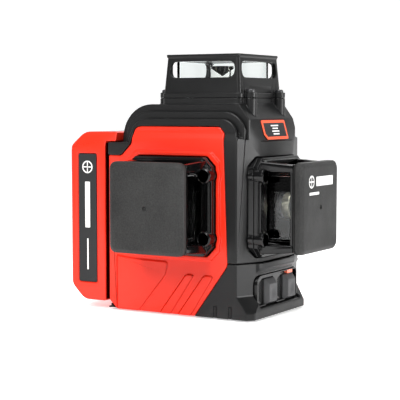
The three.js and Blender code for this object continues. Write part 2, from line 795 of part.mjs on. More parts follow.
const packContacts = box([contactLeft, packFront, contactLow],
  [contactRight, trayFront + contactRelief - gap, contactHigh]);
part('pack_contacts', packContacts, copper);
const bodyContacts = box([contactLeft, bodyRear + gap, contactLow],
  [contactRight, packFront - gap, contactHigh]);
part('body_contacts', bodyContacts, brass);

for (const side of [-1, 1]) {
  const x = [side * (bodyHalf - labelDepth + gap / 2), side * (bodyHalf - gap / 2)].sort((a, b) => a - b);
  const plate = prismX(inset(rectangle(labelFront, labelLow, labelRear, labelHigh), gap), x[0], x[1]);
  part(side < 0 ? 'battery_label_left' : 'battery_label_right', plate, labelBlack);
}

const latch = box([-latchHalf, latchFront, packTop - latchThickness],
  [latchHalf, latchFront + latchLength, packTop]);
part('latch_plate', latch, blackPlastic);

const cellY = trayFront + trayPlate + gap + cellRadius;
const cellLow = packBottom + packWall + packChamferLow;
[-1, 1].forEach((side, i) => {
  const cell = rod('z', [side * cellX, cellY], cellLow, cellLow + cellLength, cellRadius, 20);
  part(`cell_${i + 1}`, cell, cellWrap);
});

// ---------------------------------------------------------------- gimbal and pendulum
const trunnionHole = trunnion + gap;

const hangerBlock = prismZ(
  rectangle(-hangerHalf, -hangerHalf, hangerHalf, hangerHalf), gimbalZ - 4, hangerHigh - gap);
part('hanger_frame', cut(hangerBlock, rod('z', [0, 0], 0, beyond, hangerBore, 32),
  rod('x', [0, gimbalZ], -beyond, beyond, trunnionHole, 12)), anodised);

const gimbalRing = cut(
  rod('z', [0, 0], gimbalZ - ringHalfHeight, gimbalZ + ringHalfHeight, ringOuter, 32),
  rod('z', [0, 0], 0, beyond, ringInner, 32),
  rod('y', [0, gimbalZ], -beyond, beyond, trunnionHole, 12),
);
const sideTrunnions = [-1, 1].map((side) => {
  const ends = [side * (ringOuter - 1), side * (hangerHalf - 1)].sort((a, b) => a - b);
  return rod('x', [0, gimbalZ], ends[0], ends[1], trunnion, 12);
});
part('gimbal_ring', join(gimbalRing, ...sideTrunnions), anodised);

const barrelFit = barrelRadius + gap;
const collar = join(
  rod('z', [0, 0], gimbalZ - ringHalfHeight, gimbalZ + ringHalfHeight, collarOuter, 32),
  rod('z', [0, 0], blockTop - 1, gimbalZ, barrelFit + 2, 24),
  ...[-1, 1].map((side) => {
    const ends = [side * (collarOuter - 1), side * (ringOuter - 0.8)].sort((a, b) => a - b);
    return rod('y', [0, gimbalZ], ends[0], ends[1], trunnion, 12);
  }),
);
const topRoot = gimbalZ - rootDepth;
const frontRoot = 1;
const sideRoot = 3;
const block = box([-barrelFit - blockWall - 0.9, -barrelFit - blockWall - 1.9, blockLow],
  [barrelFit + blockWall + 1.9, sideCageY + barrelFit + blockWall + 0.1, blockTop]);
const pendulumBlock = cut(
  join(collar, block),
  rod('z', [0, 0], topRoot, beyond, barrelFit, 24),
  rod('y', [0, frontCageZ], -beyond, frontRoot, barrelFit, 24),
  rod('x', [sideCageY, sideCageZ], -beyond, sideRoot, barrelFit, 24),
);
part('pendulum_block', pendulumBlock, anodised);

part('top_barrel', rod('z', [0, 0], topRoot + gap, topBarrelEnd, barrelRadius, 24), anodised);
part('front_barrel', rod('y', [0, frontCageZ], -barrelReach, frontRoot - gap, barrelRadius, 24), anodised);
part('side_barrel', rod('x', [sideCageY, sideCageZ], -sideReach, sideRoot - gap, barrelRadius, 24), anodised);

// A cone prism: a glass cylinder with a cone sunk into its free end.
function conePrism() {
  const radius = barrelRadius - 0.2;
  return turned([
    [0, 0], [radius, 0], [radius, prismLength], [radius - 0.5, prismLength], [0, 2.2],
  ]);
}
part('top_prism', conePrism().translate([0, 0, topBarrelEnd + gap]), clearGlass);
part('front_prism', conePrism().rotate([90, 0, 0])
  .translate([0, -barrelReach - gap, frontCageZ]), clearGlass);
part('side_prism', conePrism().rotate([0, -90, 0])
  .translate([-sideReach - gap, sideCageY, sideCageZ]), clearGlass);

// The foot of the pendulum is part of a sphere about the gimbal, so it passes over the lock pad
// at the same height however the pendulum swings.
const footHalf = Math.asin(weightRadius / swingRadius);
const weightProfile = [[0, pendulumFoot]];
for (let i = 1; i <= 4; i += 1) {
  const angle = (footHalf * i) / 4;
  weightProfile.push([swingRadius * Math.sin(angle), gimbalZ - swingRadius * Math.cos(angle)]);
}
weightProfile.push([weightRadius, blockLow - gap], [0, blockLow - gap]);
part('pendulum_weight', turned(weightProfile), brass);

const damper = cut(rod('z', [0, 0], damperLow, damperLow + damperThickness, damperRadius, 32),
  rod('z', [0, 0], 0, beyond, weightRadius + gap, 24));
part('damping_plate', damper, copper);

const magnet = cut(rod('z', [0, 0], centrePostTop + gap, pendulumFoot - magnetGap, magnetRadius, 32),
  rod('z', [0, 0], 0, beyond, centrePostBore + 2 * gap, 24));
part('damping_magnet', magnet, steel);

// Transport lock: the pad rises from the post until it meets the foot.
const padTop = pendulumFoot - gap - lockTravel;
part('lock_pad', rod('z', [0, 0], insertTop + 2, padTop, centrePostBore - gap), darkRubber);

const sliderStart = lockStart + gap;
const sliderEnd = lockStart + lockLength - lockSlide - gap;
const slider = join(
  box([bodyHalf - 9, sliderStart, lockLow + gap], [bodyHalf - 1, sliderEnd, lockHigh - gap]),
  box([bodyHalf - 2, sliderStart + 2, lockLow + 2 * gap], [bodyHalf, sliderEnd - 2, lockHigh - 2 * gap]),
);
part('lock_slider', slider, blackPlastic);

const boardFace = bodyRear - wall - boardThickness;
const board = box([-boardHalf, boardFace - boardThickness, boardLow], [boardHalf, boardFace, boardHigh]);
part('main_board', board, boardGreen);

// ---------------------------------------------------------------- origin
const left = -sideMount - cageDepth;
const front = -frontMount - cageDepth;
group.position.set(-(left + bodyHalf) / 2, -(front + packRear) / 2, 0);

export default group;
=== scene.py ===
"""Looks of a three-plane line laser level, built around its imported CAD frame.

Lengths in this file are millimetres about the plumb axis (x = 0, y = 0, z up from the floor), as on a
maker's drawing. Every finished piece is turned into metres in the frame's own place.
"""
import math

import bmesh
import bpy
from bpy.props import BoolProperty, FloatProperty, FloatVectorProperty, IntProperty, PointerProperty
from mathutils import Matrix, Vector
from mathutils.bvhtree import BVHTree


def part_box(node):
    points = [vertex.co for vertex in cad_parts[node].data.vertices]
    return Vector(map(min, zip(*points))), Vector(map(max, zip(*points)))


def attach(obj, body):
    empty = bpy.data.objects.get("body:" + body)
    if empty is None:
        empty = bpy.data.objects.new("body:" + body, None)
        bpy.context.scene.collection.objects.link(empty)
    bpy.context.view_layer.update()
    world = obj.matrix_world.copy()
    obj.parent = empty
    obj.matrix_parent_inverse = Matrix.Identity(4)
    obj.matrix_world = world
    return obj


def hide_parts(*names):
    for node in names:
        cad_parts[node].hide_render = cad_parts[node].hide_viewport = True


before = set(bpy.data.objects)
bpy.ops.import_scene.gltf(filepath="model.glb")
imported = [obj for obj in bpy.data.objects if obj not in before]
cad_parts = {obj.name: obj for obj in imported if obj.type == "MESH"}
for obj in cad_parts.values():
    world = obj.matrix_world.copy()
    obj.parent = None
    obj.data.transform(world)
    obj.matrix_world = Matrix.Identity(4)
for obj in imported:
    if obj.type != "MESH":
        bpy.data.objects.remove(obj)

bl_info = {
    "name": "Line laser level",
    "version": (1, 0, 0),
    "blender": (4, 5, 0),
    "location": "3D View > Sidebar > Laser level",
    "description": "Builds the mouldings, cages, glass and finishes of a three-plane line laser level",
    "category": "Object",
}

MM = 0.001
QUARTER = math.pi / 2
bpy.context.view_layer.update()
for plain in bpy.data.materials:
    plain.name = f"plain_{plain.name}"


def middle_of(node):
    low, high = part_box(node)
    return (low + high) / 2


PLUMB = Vector((middle_of("tripod_insert").x, middle_of("tripod_insert").y, 0))


def node_mm(node):
    """Lowest and highest corners of a CAD node, in millimetres about the plumb axis."""
    low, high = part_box(node)
    return (low - PLUMB) / MM, (high - PLUMB) / MM


# ---------------------------------------------------------------- user settings
def colour(name, description, default):
    return FloatVectorProperty(name=name, description=description, subtype="COLOR", size=3,
                               min=0, max=1, default=default)


def length(name, description, default, low=0.0, high=0.05):
    return FloatProperty(name=name, description=description, default=default, min=low, max=high,
                         unit="LENGTH", subtype="DISTANCE", precision=5)


class LevelColours(bpy.types.PropertyGroup):
    red: colour("Red", "Side panels and battery cover", (0.82, 0.024, 0.006))
    black: colour("Black", "Housing, top cage and battery tray", (0.0062, 0.0063, 0.0065))
    gloss: colour("Gloss black", "Cage frames, seals and key recess", (0.0025, 0.0025, 0.0027))
    cap: colour("Cap", "Textured end caps", (0.020, 0.020, 0.0195))
    key: colour("Key", "Press keys", (0.060, 0.060, 0.062))
    label: colour("Label", "Printed films", (0.014, 0.015, 0.016))
    print_white: colour("Print", "White marks on the labels", (0.86, 0.86, 0.84))
    border: colour("Sticker border", "Border of the front sticker", (0.90, 0.105, 0.035))
    lamp: colour("Lamp", "Status light over the power key", (0.95, 0.16, 0.07))
    floor: colour("Floor", "Studio floor and backdrop", (0.93, 0.93, 0.93))


class LevelSizes(bpy.types.PropertyGroup):
    shell_round: length("Shell edge", "Edge radius on the housing mouldings", 0.0006, 0.0001, 0.002)
    cap_round: length("Cap edge", "Edge radius on the cap's bevels", 0.0007, 0.0001, 0.002)
    fine_round: length("Fine edge", "Edge radius on small parts", 0.00025, 0.00005, 0.001)
    rib_rise: length("Rib rise", "Height of the slanted ribs on the side panels", 0.0005, 0.0001, 0.001)
    rim_rise: length("Rim rise", "Height of the panel's rim around the side cage", 0.0009, 0.0002, 0.002)
    groove: length("Terrace groove", "Width of the grooves at the feet of the terraces",
                   0.0010, 0.0002, 0.002)


class LevelFinish(bpy.types.PropertyGroup):
    shell_grain: FloatProperty(name="Shell grain", description="Strength of the fine moulded grain",
                               default=0.22, min=0, max=1, subtype="FACTOR")
    cap_grain: FloatProperty(name="Cap grain", description="Strength of the coarse cap texture",
                             default=0.75, min=0, max=1, subtype="FACTOR")
    edge_wear: FloatProperty(name="Edge wear", description="How much the edges are rubbed lighter",
                             default=0.35, min=0, max=1, subtype="FACTOR")
    curve_steps: IntProperty(name="Curve steps", description="Steps in a quarter turn",
                             default=10, min=3, max=24)


class StageSettings(bpy.types.PropertyGroup):
    azimuth: FloatProperty(name="Azimuth", description="Camera direction round the plumb axis",
                           default=math.radians(-59.54), subtype="ANGLE", unit="ROTATION")
    elevation: FloatProperty(name="Elevation", description="Camera height angle",
                             default=math.radians(4.31), subtype="ANGLE", unit="ROTATION")
    distance: length("Distance", "Camera to the aim point", 0.67917, 0.2, 3)
    aim_height: length("Aim height", "Height of the aim point", 0.05944, 0, 0.2)
    aim_side: length("Aim offset", "Sideways offset of the aim point from the plumb axis",
                     -0.01224, -0.1, 0.1)
    focal: FloatProperty(name="Focal length", description="Lens on a 36 mm wide sensor",
                         default=113.3, min=20, max=300)
    show_floor: BoolProperty(name="Floor", description="Build the floor and backdrop", default=True)


SETTINGS = {
    "level_colours": LevelColours,
    "level_sizes": LevelSizes,
    "level_finish": LevelFinish,
    "level_stage": StageSettings,
}


def colours():
    return bpy.context.scene.level_colours


def sizes():
    return bpy.context.scene.level_sizes


def finish_settings():
    return bpy.context.scene.level_finish


# ---------------------------------------------------------------- outlines
def arc(cx, cy, radius, start, end, steps=None):
    steps = steps or finish_settings().curve_steps
    turn = [start + (end - start) * i / steps for i in range(steps + 1)]
    return [(cx + radius * math.cos(a), cy + radius * math.sin(a)) for a in turn]


def rectangle(left, low, right, high):
    return [(left, low), (right, low), (right, high), (left, high)]


def rounded(points, radius, steps=None):
    """The outline with every corner rounded; radius is one number or one for each corner."""
    steps = steps or max(3, finish_settings().curve_steps // 2)
    count = len(points)
    result = []
    for i, (x, y) in enumerate(points):
        wanted = radius[i] if isinstance(radius, (list, tuple)) else radius
        corner = Vector((x, y))
        before = Vector(points[i - 1]) - corner
        after = Vector(points[(i + 1) % count]) - corner
        half = before.angle(after) / 2
        reach = min(wanted / math.tan(half), before.length * 0.48, after.length * 0.48)
        if wanted <= 0 or half > QUARTER - 0.02:
            result.append((x, y))
            continue
        first = corner + before.normalized() * reach
        last = corner + after.normalized() * reach
        for k in range(steps + 1):
            t = k / steps
            point = first * (1 - t) ** 2 + corner * 2 * t * (1 - t) + last * t ** 2
            result.append((point.x, point.y))
    return result


def inset(points, distance):
    """A counter-clockwise outline moved inwards by a distance."""
    lines = []
    for i, start in enumerate(points):
        start = Vector(start)
        along = (Vector(points[(i + 1) % len(points)]) - start).normalized()
        lines.append((start + Vector((-along.y, along.x)) * distance, along))
    result = []
    for i in range(len(points)):
        (p, u), (q, v) = lines[i - 1], lines[i]
        t = ((q.x - p.x) * v.y - (q.y - p.y) * v.x) / (u.x * v.y - u.y * v.x)
        result.append((p.x + u.x * t, p.y + u.y * t))
    return result


# ---------------------------------------------------------------- solids
def object_from(mesh_maker, name="work"):
    mesh = bpy.data.meshes.new(name)
    shape = bmesh.new()
    mesh_maker(shape)
    bmesh.ops.recalc_face_normals(shape, faces=shape.faces)
    shape.to_mesh(mesh)
    shape.free()
    piece = bpy.data.objects.new(name, mesh)
    bpy.context.scene.collection.objects.link(piece)
    return piece


AXES = {
    "x": Matrix(((0, 0, 1, 0), (1, 0, 0, 0), (0, 1, 0, 0), (0, 0, 0, 1))),
    "y": Matrix(((1, 0, 0, 0), (0, 0, 1, 0), (0, 1, 0, 0), (0, 0, 0, 1))),
    "z": Matrix.Identity(4),
}


def loft(axis, rings, closed=True):
    """A solid through several outlines of equal count, each given as (place along the axis, outline)."""
    turn = AXES[axis]

    def make(shape):
        rows = [[shape.verts.new(turn @ Vector((u, v, place))) for u, v in ring] for place, ring in rings]
        count = len(rows[0])
        for low, high in zip(rows, rows[1:]):
            for i in range(count):
                j = (i + 1) % count
                shape.faces.new((low[i], low[j], high[j], high[i]))
        if closed:
            shape.faces.new(rows[0])
            shape.faces.new(rows[-1])
    return object_from(make)


def prism(axis, points, start, end):
    """An outline run along an axis: (y, z) along x, (x, z) along y, (x, y) along z."""
    return loft(axis, [(start, points), (end, points)])


def block(low, high):
    return prism("z", rectangle(low[0], low[1], high[0], high[1]), low[2], high[2])


def rod(axis, centre, start, end, radius, sides=40, end_radius=None):
    ring = [(centre[0] + radius * math.cos(math.tau * i / sides),
             centre[1] + radius * math.sin(math.tau * i / sides)) for i in range(sides)]
    far = radius if end_radius is None else end_radius
    tip = [(centre[0] + far * math.cos(math.tau * i / sides),
            centre[1] + far * math.sin(math.tau * i / sides)) for i in range(sides)]
    return loft(axis, [(start, ring), (end, tip)])


def turned(axis, centre, profile, sides=48):
    """A turned solid about a line parallel to an axis, from (radius, place) points; both ends are flat."""
    rings = []
    for radius, place in profile:
        rings.append((place, [(centre[0] + radius * math.cos(math.tau * i / sides),
                               centre[1] + radius * math.sin(math.tau * i / sides))
                              for i in range(sides)]))
    return loft(axis, rings)


def bake(piece):
    """Applies the piece's modifiers to its mesh."""
    graph = bpy.context.evaluated_depsgraph_get()
    mesh = bpy.data.meshes.new_from_object(piece.evaluated_get(graph))
    old = piece.data
    piece.modifiers.clear()
    piece.data = mesh
    bpy.data.meshes.remove(old)
    return piece


def remove(*pieces):
    for piece in pieces:
        mesh = piece.data
        bpy.data.objects.remove(piece)
        bpy.data.meshes.remove(mesh)


def combine(base, operation, tools):
    for tool in tools:
        change = base.modifiers.new("combine", "BOOLEAN")
        change.operation = operation
        change.solver = "MANIFOLD"
        change.object = tool
    bake(base)
    remove(*tools)
    if not base.data.polygons:
        raise RuntimeError(f"{operation} left nothing of the piece")
    return base


def join(base, *tools):
    return combine(base, "UNION", tools)


def cut(base, *tools):
    return combine(base, "DIFFERENCE", tools)


def meet(base, *tools):
    return combine(base, "INTERSECT", tools)


def copy_of(piece):
    twin = piece.copy()
    twin.data = piece.data.copy()
    bpy.context.scene.collection.objects.link(twin)
    return twin


def tidy_faces(piece, weld=0.004):
    """Welds close points and dissolves edges inside flat faces."""
    shape = bmesh.new()
    shape.from_mesh(piece.data)
    bmesh.ops.remove_doubles(shape, verts=shape.verts, dist=weld)
    bmesh.ops.dissolve_limit(shape, angle_limit=math.radians(0.4), verts=shape.verts, edges=shape.edges)
    bmesh.ops.dissolve_degenerate(shape, edges=shape.edges, dist=weld)
    shape.to_mesh(piece.data)
    shape.free()
    return piece


def softened(piece, radius, segments, angle):
    """A copy of the piece with its sharp edges rounded, and how far its points moved at most."""
    before = BVHTree.FromPolygons([v.co for v in piece.data.vertices],
                                  [p.vertices for p in piece.data.polygons])
    twin = tidy_faces(copy_of(piece), radius * 0.1)
    twin.data.shade_smooth()
    edge = twin.modifiers.new("edge", "BEVEL")
    edge.width = radius
    edge.segments = segments
    edge.limit_method = "ANGLE"
    edge.angle_limit = math.radians(angle)
    edge.use_clamp_overlap = False
    edge.harden_normals = True
    edge.miter_outer = "MITER_SHARP"
    bake(twin)
    moved = max(before.find_nearest(v.co)[3] for v in twin.data.vertices)
    return twin, moved


def soften(piece, radius, segments=3, angle=32):
    """Rounds every edge sharper than the angle, with a smaller radius where the edges lie too close."""
    tidy_faces(piece)
    for share in (1.0, 0.7, 0.5, 0.35, 0.25, 0.15):
        twin, moved = softened(piece, radius * share, segments, angle)
        if moved < radius * share * 1.2:
            break
        remove(twin)
    else:
        twin = copy_of(piece)
        twin.data.shade_flat()
    old = piece.data
    piece.data = twin.data
    bpy.data.objects.remove(twin)
    bpy.data.meshes.remove(old)
    return piece


def place(piece, name, body, slot, material, replaces=()):
    """Turns a finished millimetre piece into metres in the frame, and puts it on its body."""
    piece.data.transform(Matrix.Translation(PLUMB) @ Matrix.Scale(MM, 4))
    piece.name = name
    piece.data.name = name
    piece.data.materials.clear()
    piece.data.materials.append(material)
    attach(piece, body)
    if replaces:
        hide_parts(*replaces)
    return piece


# ---------------------------------------------------------------- shader groups
def new_group(name, inputs, outputs):
    tree = bpy.data.node_groups.new(name, "ShaderNodeTree")
    for label, kind, default in inputs:
        socket = tree.interface.new_socket(label, in_out="INPUT", socket_type=kind)
        if default is not None:
            socket.default_value = default
    for label, kind in outputs:
        tree.interface.new_socket(label, in_out="OUTPUT", socket_type=kind)
    return tree, tree.nodes.new("NodeGroupInput"), tree.nodes.new("NodeGroupOutput")


def math_node(tree, operation, first, second, clamp=False):
    node = tree.nodes.new("ShaderNodeMath")
    node.operation = operation
    node.use_clamp = clamp
    for socket, value in zip(node.inputs, (first, second)):
        if hasattr(value, "node"):
            tree.links.new(value, socket)
        elif value is not None:
            socket.default_value = value
    return node.outputs[0]


def noise(tree, vector, scale, detail=3.0, roughness=0.55):
    node = tree.nodes.new("ShaderNodeTexNoise")
    if hasattr(scale, "node"):
        tree.links.new(scale, node.inputs["Scale"])
    else:
        node.inputs["Scale"].default_value = scale
    node.inputs["Detail"].default_value = detail
    node.inputs["Roughness"].default_value = roughness
    tree.links.new(vector, node.inputs["Vector"])
    return node.outputs["Fac"]


def moulded_grain():
    """Fine pitted texture of a moulded surface, with slow changes in gloss."""
    tree, given, result = new_group(
        "moulded_grain",
        [("Scale", "NodeSocketFloat", 2500.0), ("Pits", "NodeSocketFloat", 0.5),
         ("Roughness", "NodeSocketFloat", 0.5), ("Roughness Change", "NodeSocketFloat", 0.1)],
        [("Height", "NodeSocketFloat"), ("Roughness", "NodeSocketFloat"), ("Speck", "NodeSocketFloat")])
    place_node = tree.nodes.new("ShaderNodeTexCoord")
    here = place_node.outputs["Object"]
    fine = noise(tree, here, given.outputs["Scale"], 2.0)
    cells = tree.nodes.new("ShaderNodeTexVoronoi")
    tree.links.new(here, cells.inputs["Vector"])
    tree.links.new(given.outputs["Scale"], cells.inputs["Scale"])
    pits = math_node(tree, "MULTIPLY", cells.outputs["Distance"], given.outputs["Pits"])
    tree.links.new(math_node(tree, "ADD", fine, pits), result.inputs["Height"])
    slow = noise(tree, here, 90.0, 4.0)
    centred = math_node(tree, "SUBTRACT", slow, 0.5)
    change = math_node(tree, "MULTIPLY", centred, given.outputs["Roughness Change"])
    tree.links.new(math_node(tree, "ADD", given.outputs["Roughness"], change, clamp=True),
                   result.inputs["Roughness"])
    tree.links.new(math_node(tree, "SUBTRACT", fine, 0.5), result.inputs["Speck"])
    return tree


def rubbed_edges():
    """Base colour that is lighter on rubbed edges and varies a little over the surface."""
    tree, given, result = new_group(
        "rubbed_edges",
        [("Colour", "NodeSocketColor", (0.5, 0.5, 0.5, 1)),
         ("Edge Colour", "NodeSocketColor", (0.8, 0.8, 0.8, 1)),
         ("Amount", "NodeSocketFloat", 0.3), ("Speck", "NodeSocketFloat", 0.0),
         ("Variation", "NodeSocketFloat", 0.06)],
        [("Colour", "NodeSocketColor"), ("Edge", "NodeSocketFloat")])
    shape = tree.nodes.new("ShaderNodeNewGeometry")
    here = tree.nodes.new("ShaderNodeTexCoord").outputs["Object"]
    edge = tree.nodes.new("ShaderNodeMapRange")
    edge.inputs["From Min"].default_value = 0.53
    edge.inputs["From Max"].default_value = 0.62
    tree.links.new(shape.outputs["Pointiness"], edge.inputs["Value"])
    broken = math_node(tree, "MULTIPLY", edge.outputs["Result"], noise(tree, here, 420.0, 4.0))
    worn = math_node(tree, "MULTIPLY", broken, given.outputs["Amount"], clamp=True)
    slow = math_node(tree, "SUBTRACT", noise(tree, here, 35.0, 3.0), 0.5)
    both = math_node(tree, "ADD", slow, given.outputs["Speck"])
    shade = math_node(tree, "ADD", math_node(tree, "MULTIPLY", both, given.outputs["Variation"]), 1.0)
    tint = tree.nodes.new("ShaderNodeVectorMath")
    tint.operation = "SCALE"
    tree.links.new(given.outputs["Colour"], tint.inputs[0])
    tree.links.new(shade, tint.inputs["Scale"])
    mix = tree.nodes.new("ShaderNodeMix")
    mix.data_type = "RGBA"
    tree.links.new(worn, mix.inputs["Factor"])
    tree.links.new(tint.outputs[0], mix.inputs[6])
    tree.links.new(given.outputs["Edge Colour"], mix.inputs[7])
    tree.links.new(mix.outputs[2], result.inputs["Colour"])
    tree.links.new(worn, result.inputs["Edge"])
    return tree


def group_node(tree, name, maker, **values):
    node = tree.nodes.new("ShaderNodeGroup")
    node.node_tree = bpy.data.node_groups.get(name) or maker()
    for key, value in values.items():
        socket = node.inputs[key.replace("_", " ")]
        if hasattr(value, "node"):
            tree.links.new(value, socket)
        else:
            socket.default_value = value
    return node


def lighter(rgb, amount):
    return tuple(c + (1 - c) * amount for c in rgb[:3]) + (1.0,)


# ---------------------------------------------------------------- materials
def surface(name, rgb, roughness, metallic=0.0, grain=2600.0, depth=0.2, pits=0.5, wear=0.3,
            variation=0.06, change=0.12, edge=0.18, coat=0.0, specular=0.5):
    """A moulded, cast or machined finish made once and shared by name."""
    made = bpy.data.materials.get(name)
    if made:
        return made
    made = bpy.data.materials.new(name)
    made.use_nodes = True
    tree = made.node_tree
    skin = tree.nodes["Principled BSDF"]
    skin.inputs["Metallic"].default_value = metallic
    skin.inputs["Specular IOR Level"].default_value = specular
    skin.inputs["Coat Weight"].default_value = coat
    skin.inputs["Coat Roughness"].default_value = 0.12
    texture = group_node(tree, "moulded_grain", moulded_grain, Scale=grain, Pits=pits,
                         Roughness=roughness, Roughness_Change=change)
    paint = group_node(tree, "rubbed_edges", rubbed_edges, Colour=(*rgb[:3], 1.0),
                       Edge_Colour=lighter(rgb, edge), Amount=wear * finish_settings().edge_wear,
                       Speck=texture.outputs["Speck"], Variation=variation)
    bump = tree.nodes.new("ShaderNodeBump")
    bump.inputs["Strength"].default_value = depth
    bump.inputs["Distance"].default_value = 0.0001
    tree.links.new(texture.outputs["Height"], bump.inputs["Height"])
    tree.links.new(paint.outputs["Colour"], skin.inputs["Base Color"])
    tree.links.new(texture.outputs["Roughness"], skin.inputs["Roughness"])
    tree.links.new(bump.outputs["Normal"], skin.inputs["Normal"])
    return made


def black_plastic():
    return surface("black_plastic", colours().black, 0.36, depth=finish_settings().shell_grain,
                   grain=3800.0, edge=0.10, variation=0.10, specular=0.28)


def red_plastic():
    return surface("red_plastic", colours().red, 0.36, depth=finish_settings().shell_grain * 0.6,
                   grain=3800.0, edge=0.10, variation=0.05, specular=0.35)


def gloss_black():
    return surface("gloss_black", colours().gloss, 0.13, depth=0.04, grain=900.0, edge=0.12,
                   wear=0.5, change=0.08, specular=0.35)


def cap_plastic():
    return surface("cap_plastic", colours().cap, 0.62, depth=finish_settings().cap_grain, grain=1500.0,
                   pits=1.2, edge=0.10, variation=1.8, change=0.3, specular=0.3)


def key_plastic():
    return surface("key_plastic", colours().key, 0.5, depth=0.35, grain=2600.0, variation=0.2, specular=0.35)


def label_film():
    return surface("label_film", colours().label, 0.5, depth=0.12, grain=5200.0, wear=0.1, variation=0.12,
                   specular=0.3)


def print_white():
    return surface("print_white", colours().print_white, 0.55, depth=0.05, wear=0.0, variation=0.04)


def screw_steel():
    return surface("screw_steel", (0.016, 0.016, 0.018), 0.38, metallic=0.0, grain=5000.0, depth=0.1,
                   edge=0.25, wear=0.8)


def foot_rubber():
    return surface("foot_rubber", (0.018, 0.018, 0.018), 0.8, depth=0.5, grain=2200.0, edge=0.06)


def brass():
    return surface("brass", (0.72, 0.52, 0.24), 0.3, metallic=1.0, grain=1800.0, depth=0.08, edge=0.2)


def lens_metal():
    return surface("lens_metal", (0.80, 0.74, 0.58), 0.28, metallic=1.0, grain=1800.0, depth=0.06, edge=0.2)


def copper():
    return surface("copper", (0.78, 0.36, 0.2), 0.34, metallic=1.0, grain=1500.0, depth=0.08, edge=0.2)


def anodised():
    return surface("anodised", (0.07, 0.07, 0.075), 0.4, metallic=0.9, grain=3000.0, depth=0.12, edge=0.2)


def board_green():
    return surface("board_green", (0.02, 0.17, 0.06), 0.4, depth=0.1, grain=1600.0, coat=0.4)


def cell_wrap():
    return surface("cell_wrap", (0.08, 0.22, 0.5), 0.35, depth=0.05, grain=700.0, coat=0.3)


def lamp():
    return surface("lamp", colours().lamp, 0.25, depth=0.05, wear=0.0, coat=0.6, variation=0.1)


def sticker_border():
    return surface("warning_border", colours().border, 0.45, depth=0.08, wear=0.0)


def studio_white():
    made = surface("studio_white", colours().floor, 0.85, depth=0.0, wear=0.0, variation=0.01, grain=60.0)
    skin = made.node_tree.nodes["Principled BSDF"]
    skin.inputs["Emission Color"].default_value = (1.0, 1.0, 1.0, 1.0)
    skin.inputs["Emission Strength"].default_value = 0.5
    return made


def clear_glass(name="clear_glass", tint=(0.96, 0.985, 0.98), roughness=0.0):
    made = bpy.data.materials.get(name)
    if made:
        return made
    made = bpy.data.materials.new(name)
    made.use_nodes = True
    tree = made.node_tree
    skin = tree.nodes["Principled BSDF"]
    smudge = group_node(tree, "moulded_grain", moulded_grain, Scale=160.0, Pits=0.1,
                        Roughness=roughness, Roughness_Change=0.05)
    paint = group_node(tree, "rubbed_edges", rubbed_edges, Colour=(*tint, 1.0),
                       Edge_Colour=(1.0, 1.0, 1.0, 1.0), Amount=0.1,
                       Speck=smudge.outputs["Speck"], Variation=0.01)
    tree.links.new(paint.outputs["Colour"], skin.inputs["Base Color"])
    skin.inputs["Roughness"].default_value = roughness
    skin.inputs["Transmission Weight"].default_value = 1.0
    skin.inputs["IOR"].default_value = 1.36
    return made


# ---------------------------------------------------------------- dimensions shared by several pieces
HALF = node_mm("lower_housing")[1].x
REAR = node_mm("left_side_panel")[1].y + 0.3
FLOOR = node_mm("lower_housing")[0].z
SEAM = (node_mm("lower_housing")[1].z + node_mm("upper_housing")[0].z) / 2
GAP = 0.15                      # half of the joint between two mouldings
FRONT = 33.0                    # flat front of the body, in front of the plumb axis
FRONT_FLAT = 17.5
LEFT_CORNER, RIGHT_CORNER = 26.0, 29.0
CHIN_TOP, CHIN_LOW = 12.6, 4.6
CHIN_FRONT, CHIN_CORNER = -node_mm("lower_housing")[0].y, 3.4
STEP_LOW, STEP_HIGH, STEP_IN = 92.1, 95.9, 1.6
ARCH_TOP, ARCH_RADIUS, ARCH_REAR = 111.0, 18.0, 47.4
FRONT_BEND, FRONT_BEND_Y, FRONT_BEND_Z = 16.8, -16.2, 94.2
TERRACE_DROP, TERRACE_OUT = 3.8, 2.5
TAB_TOP, TAB_LOW = 90.7, 83.7
NECK_HALF, NECK_TOP = 24.0, node_mm("upper_housing")[1].z
SCREW_X, SCREW_Y = 16.1, 25.6
SCREW_BORE, SCREW_LOBE, SCREW_SEAT = 1.7, 3.2, 2.7
PANEL_FOOT = HALF - 3.2
PANEL_TOP = node_mm("left_side_panel")[1].z
SIDE_MOUNT, FRONT_MOUNT = 30.4, 29.0
SIDE_CENTRE = (node_mm("side_cage_cap")[0] + node_mm("side_cage_cap")[1]) / 2
FRONT_CENTRE = (node_mm("front_cage_cap")[0] + node_mm("front_cage_cap")[1]) / 2
WALL = 2.0

PLATE_X, PLATE_Z, PLATE_CORNER = 25.7, 25.5, 5.0
BOSS_X, BOSS_Z, BOSS_RADIUS = 22.6, 16.2, 3.9
BORE_X, BORE_Z = 17.2, 18.2
SEAL_FACE, FLANGE_FACE = 3.4, 7.0
CAGE_DEPTH, CAP_BACK = 29.2, 23.7
CAP_X, CAP_Z, CAP_BEVEL = 22.25, 23.5, 2.1

RECESS = (-22.0, 6.1, 24.3, 23.0)
RECESS_FLOOR = 30.6
KEY_GAP = 0.3                   # free space round a key in its hole

CAVITY_TOP = 90.0
CROWN_HALF, CROWN_TOP = 20.8, 105.0
BEAM_BORE = 17.0                # half of the opening under the top glass


def neck_screws():
    return [(sx * SCREW_X, sy * SCREW_Y) for sx in (-1, 1) for sy in (-1, 1)]


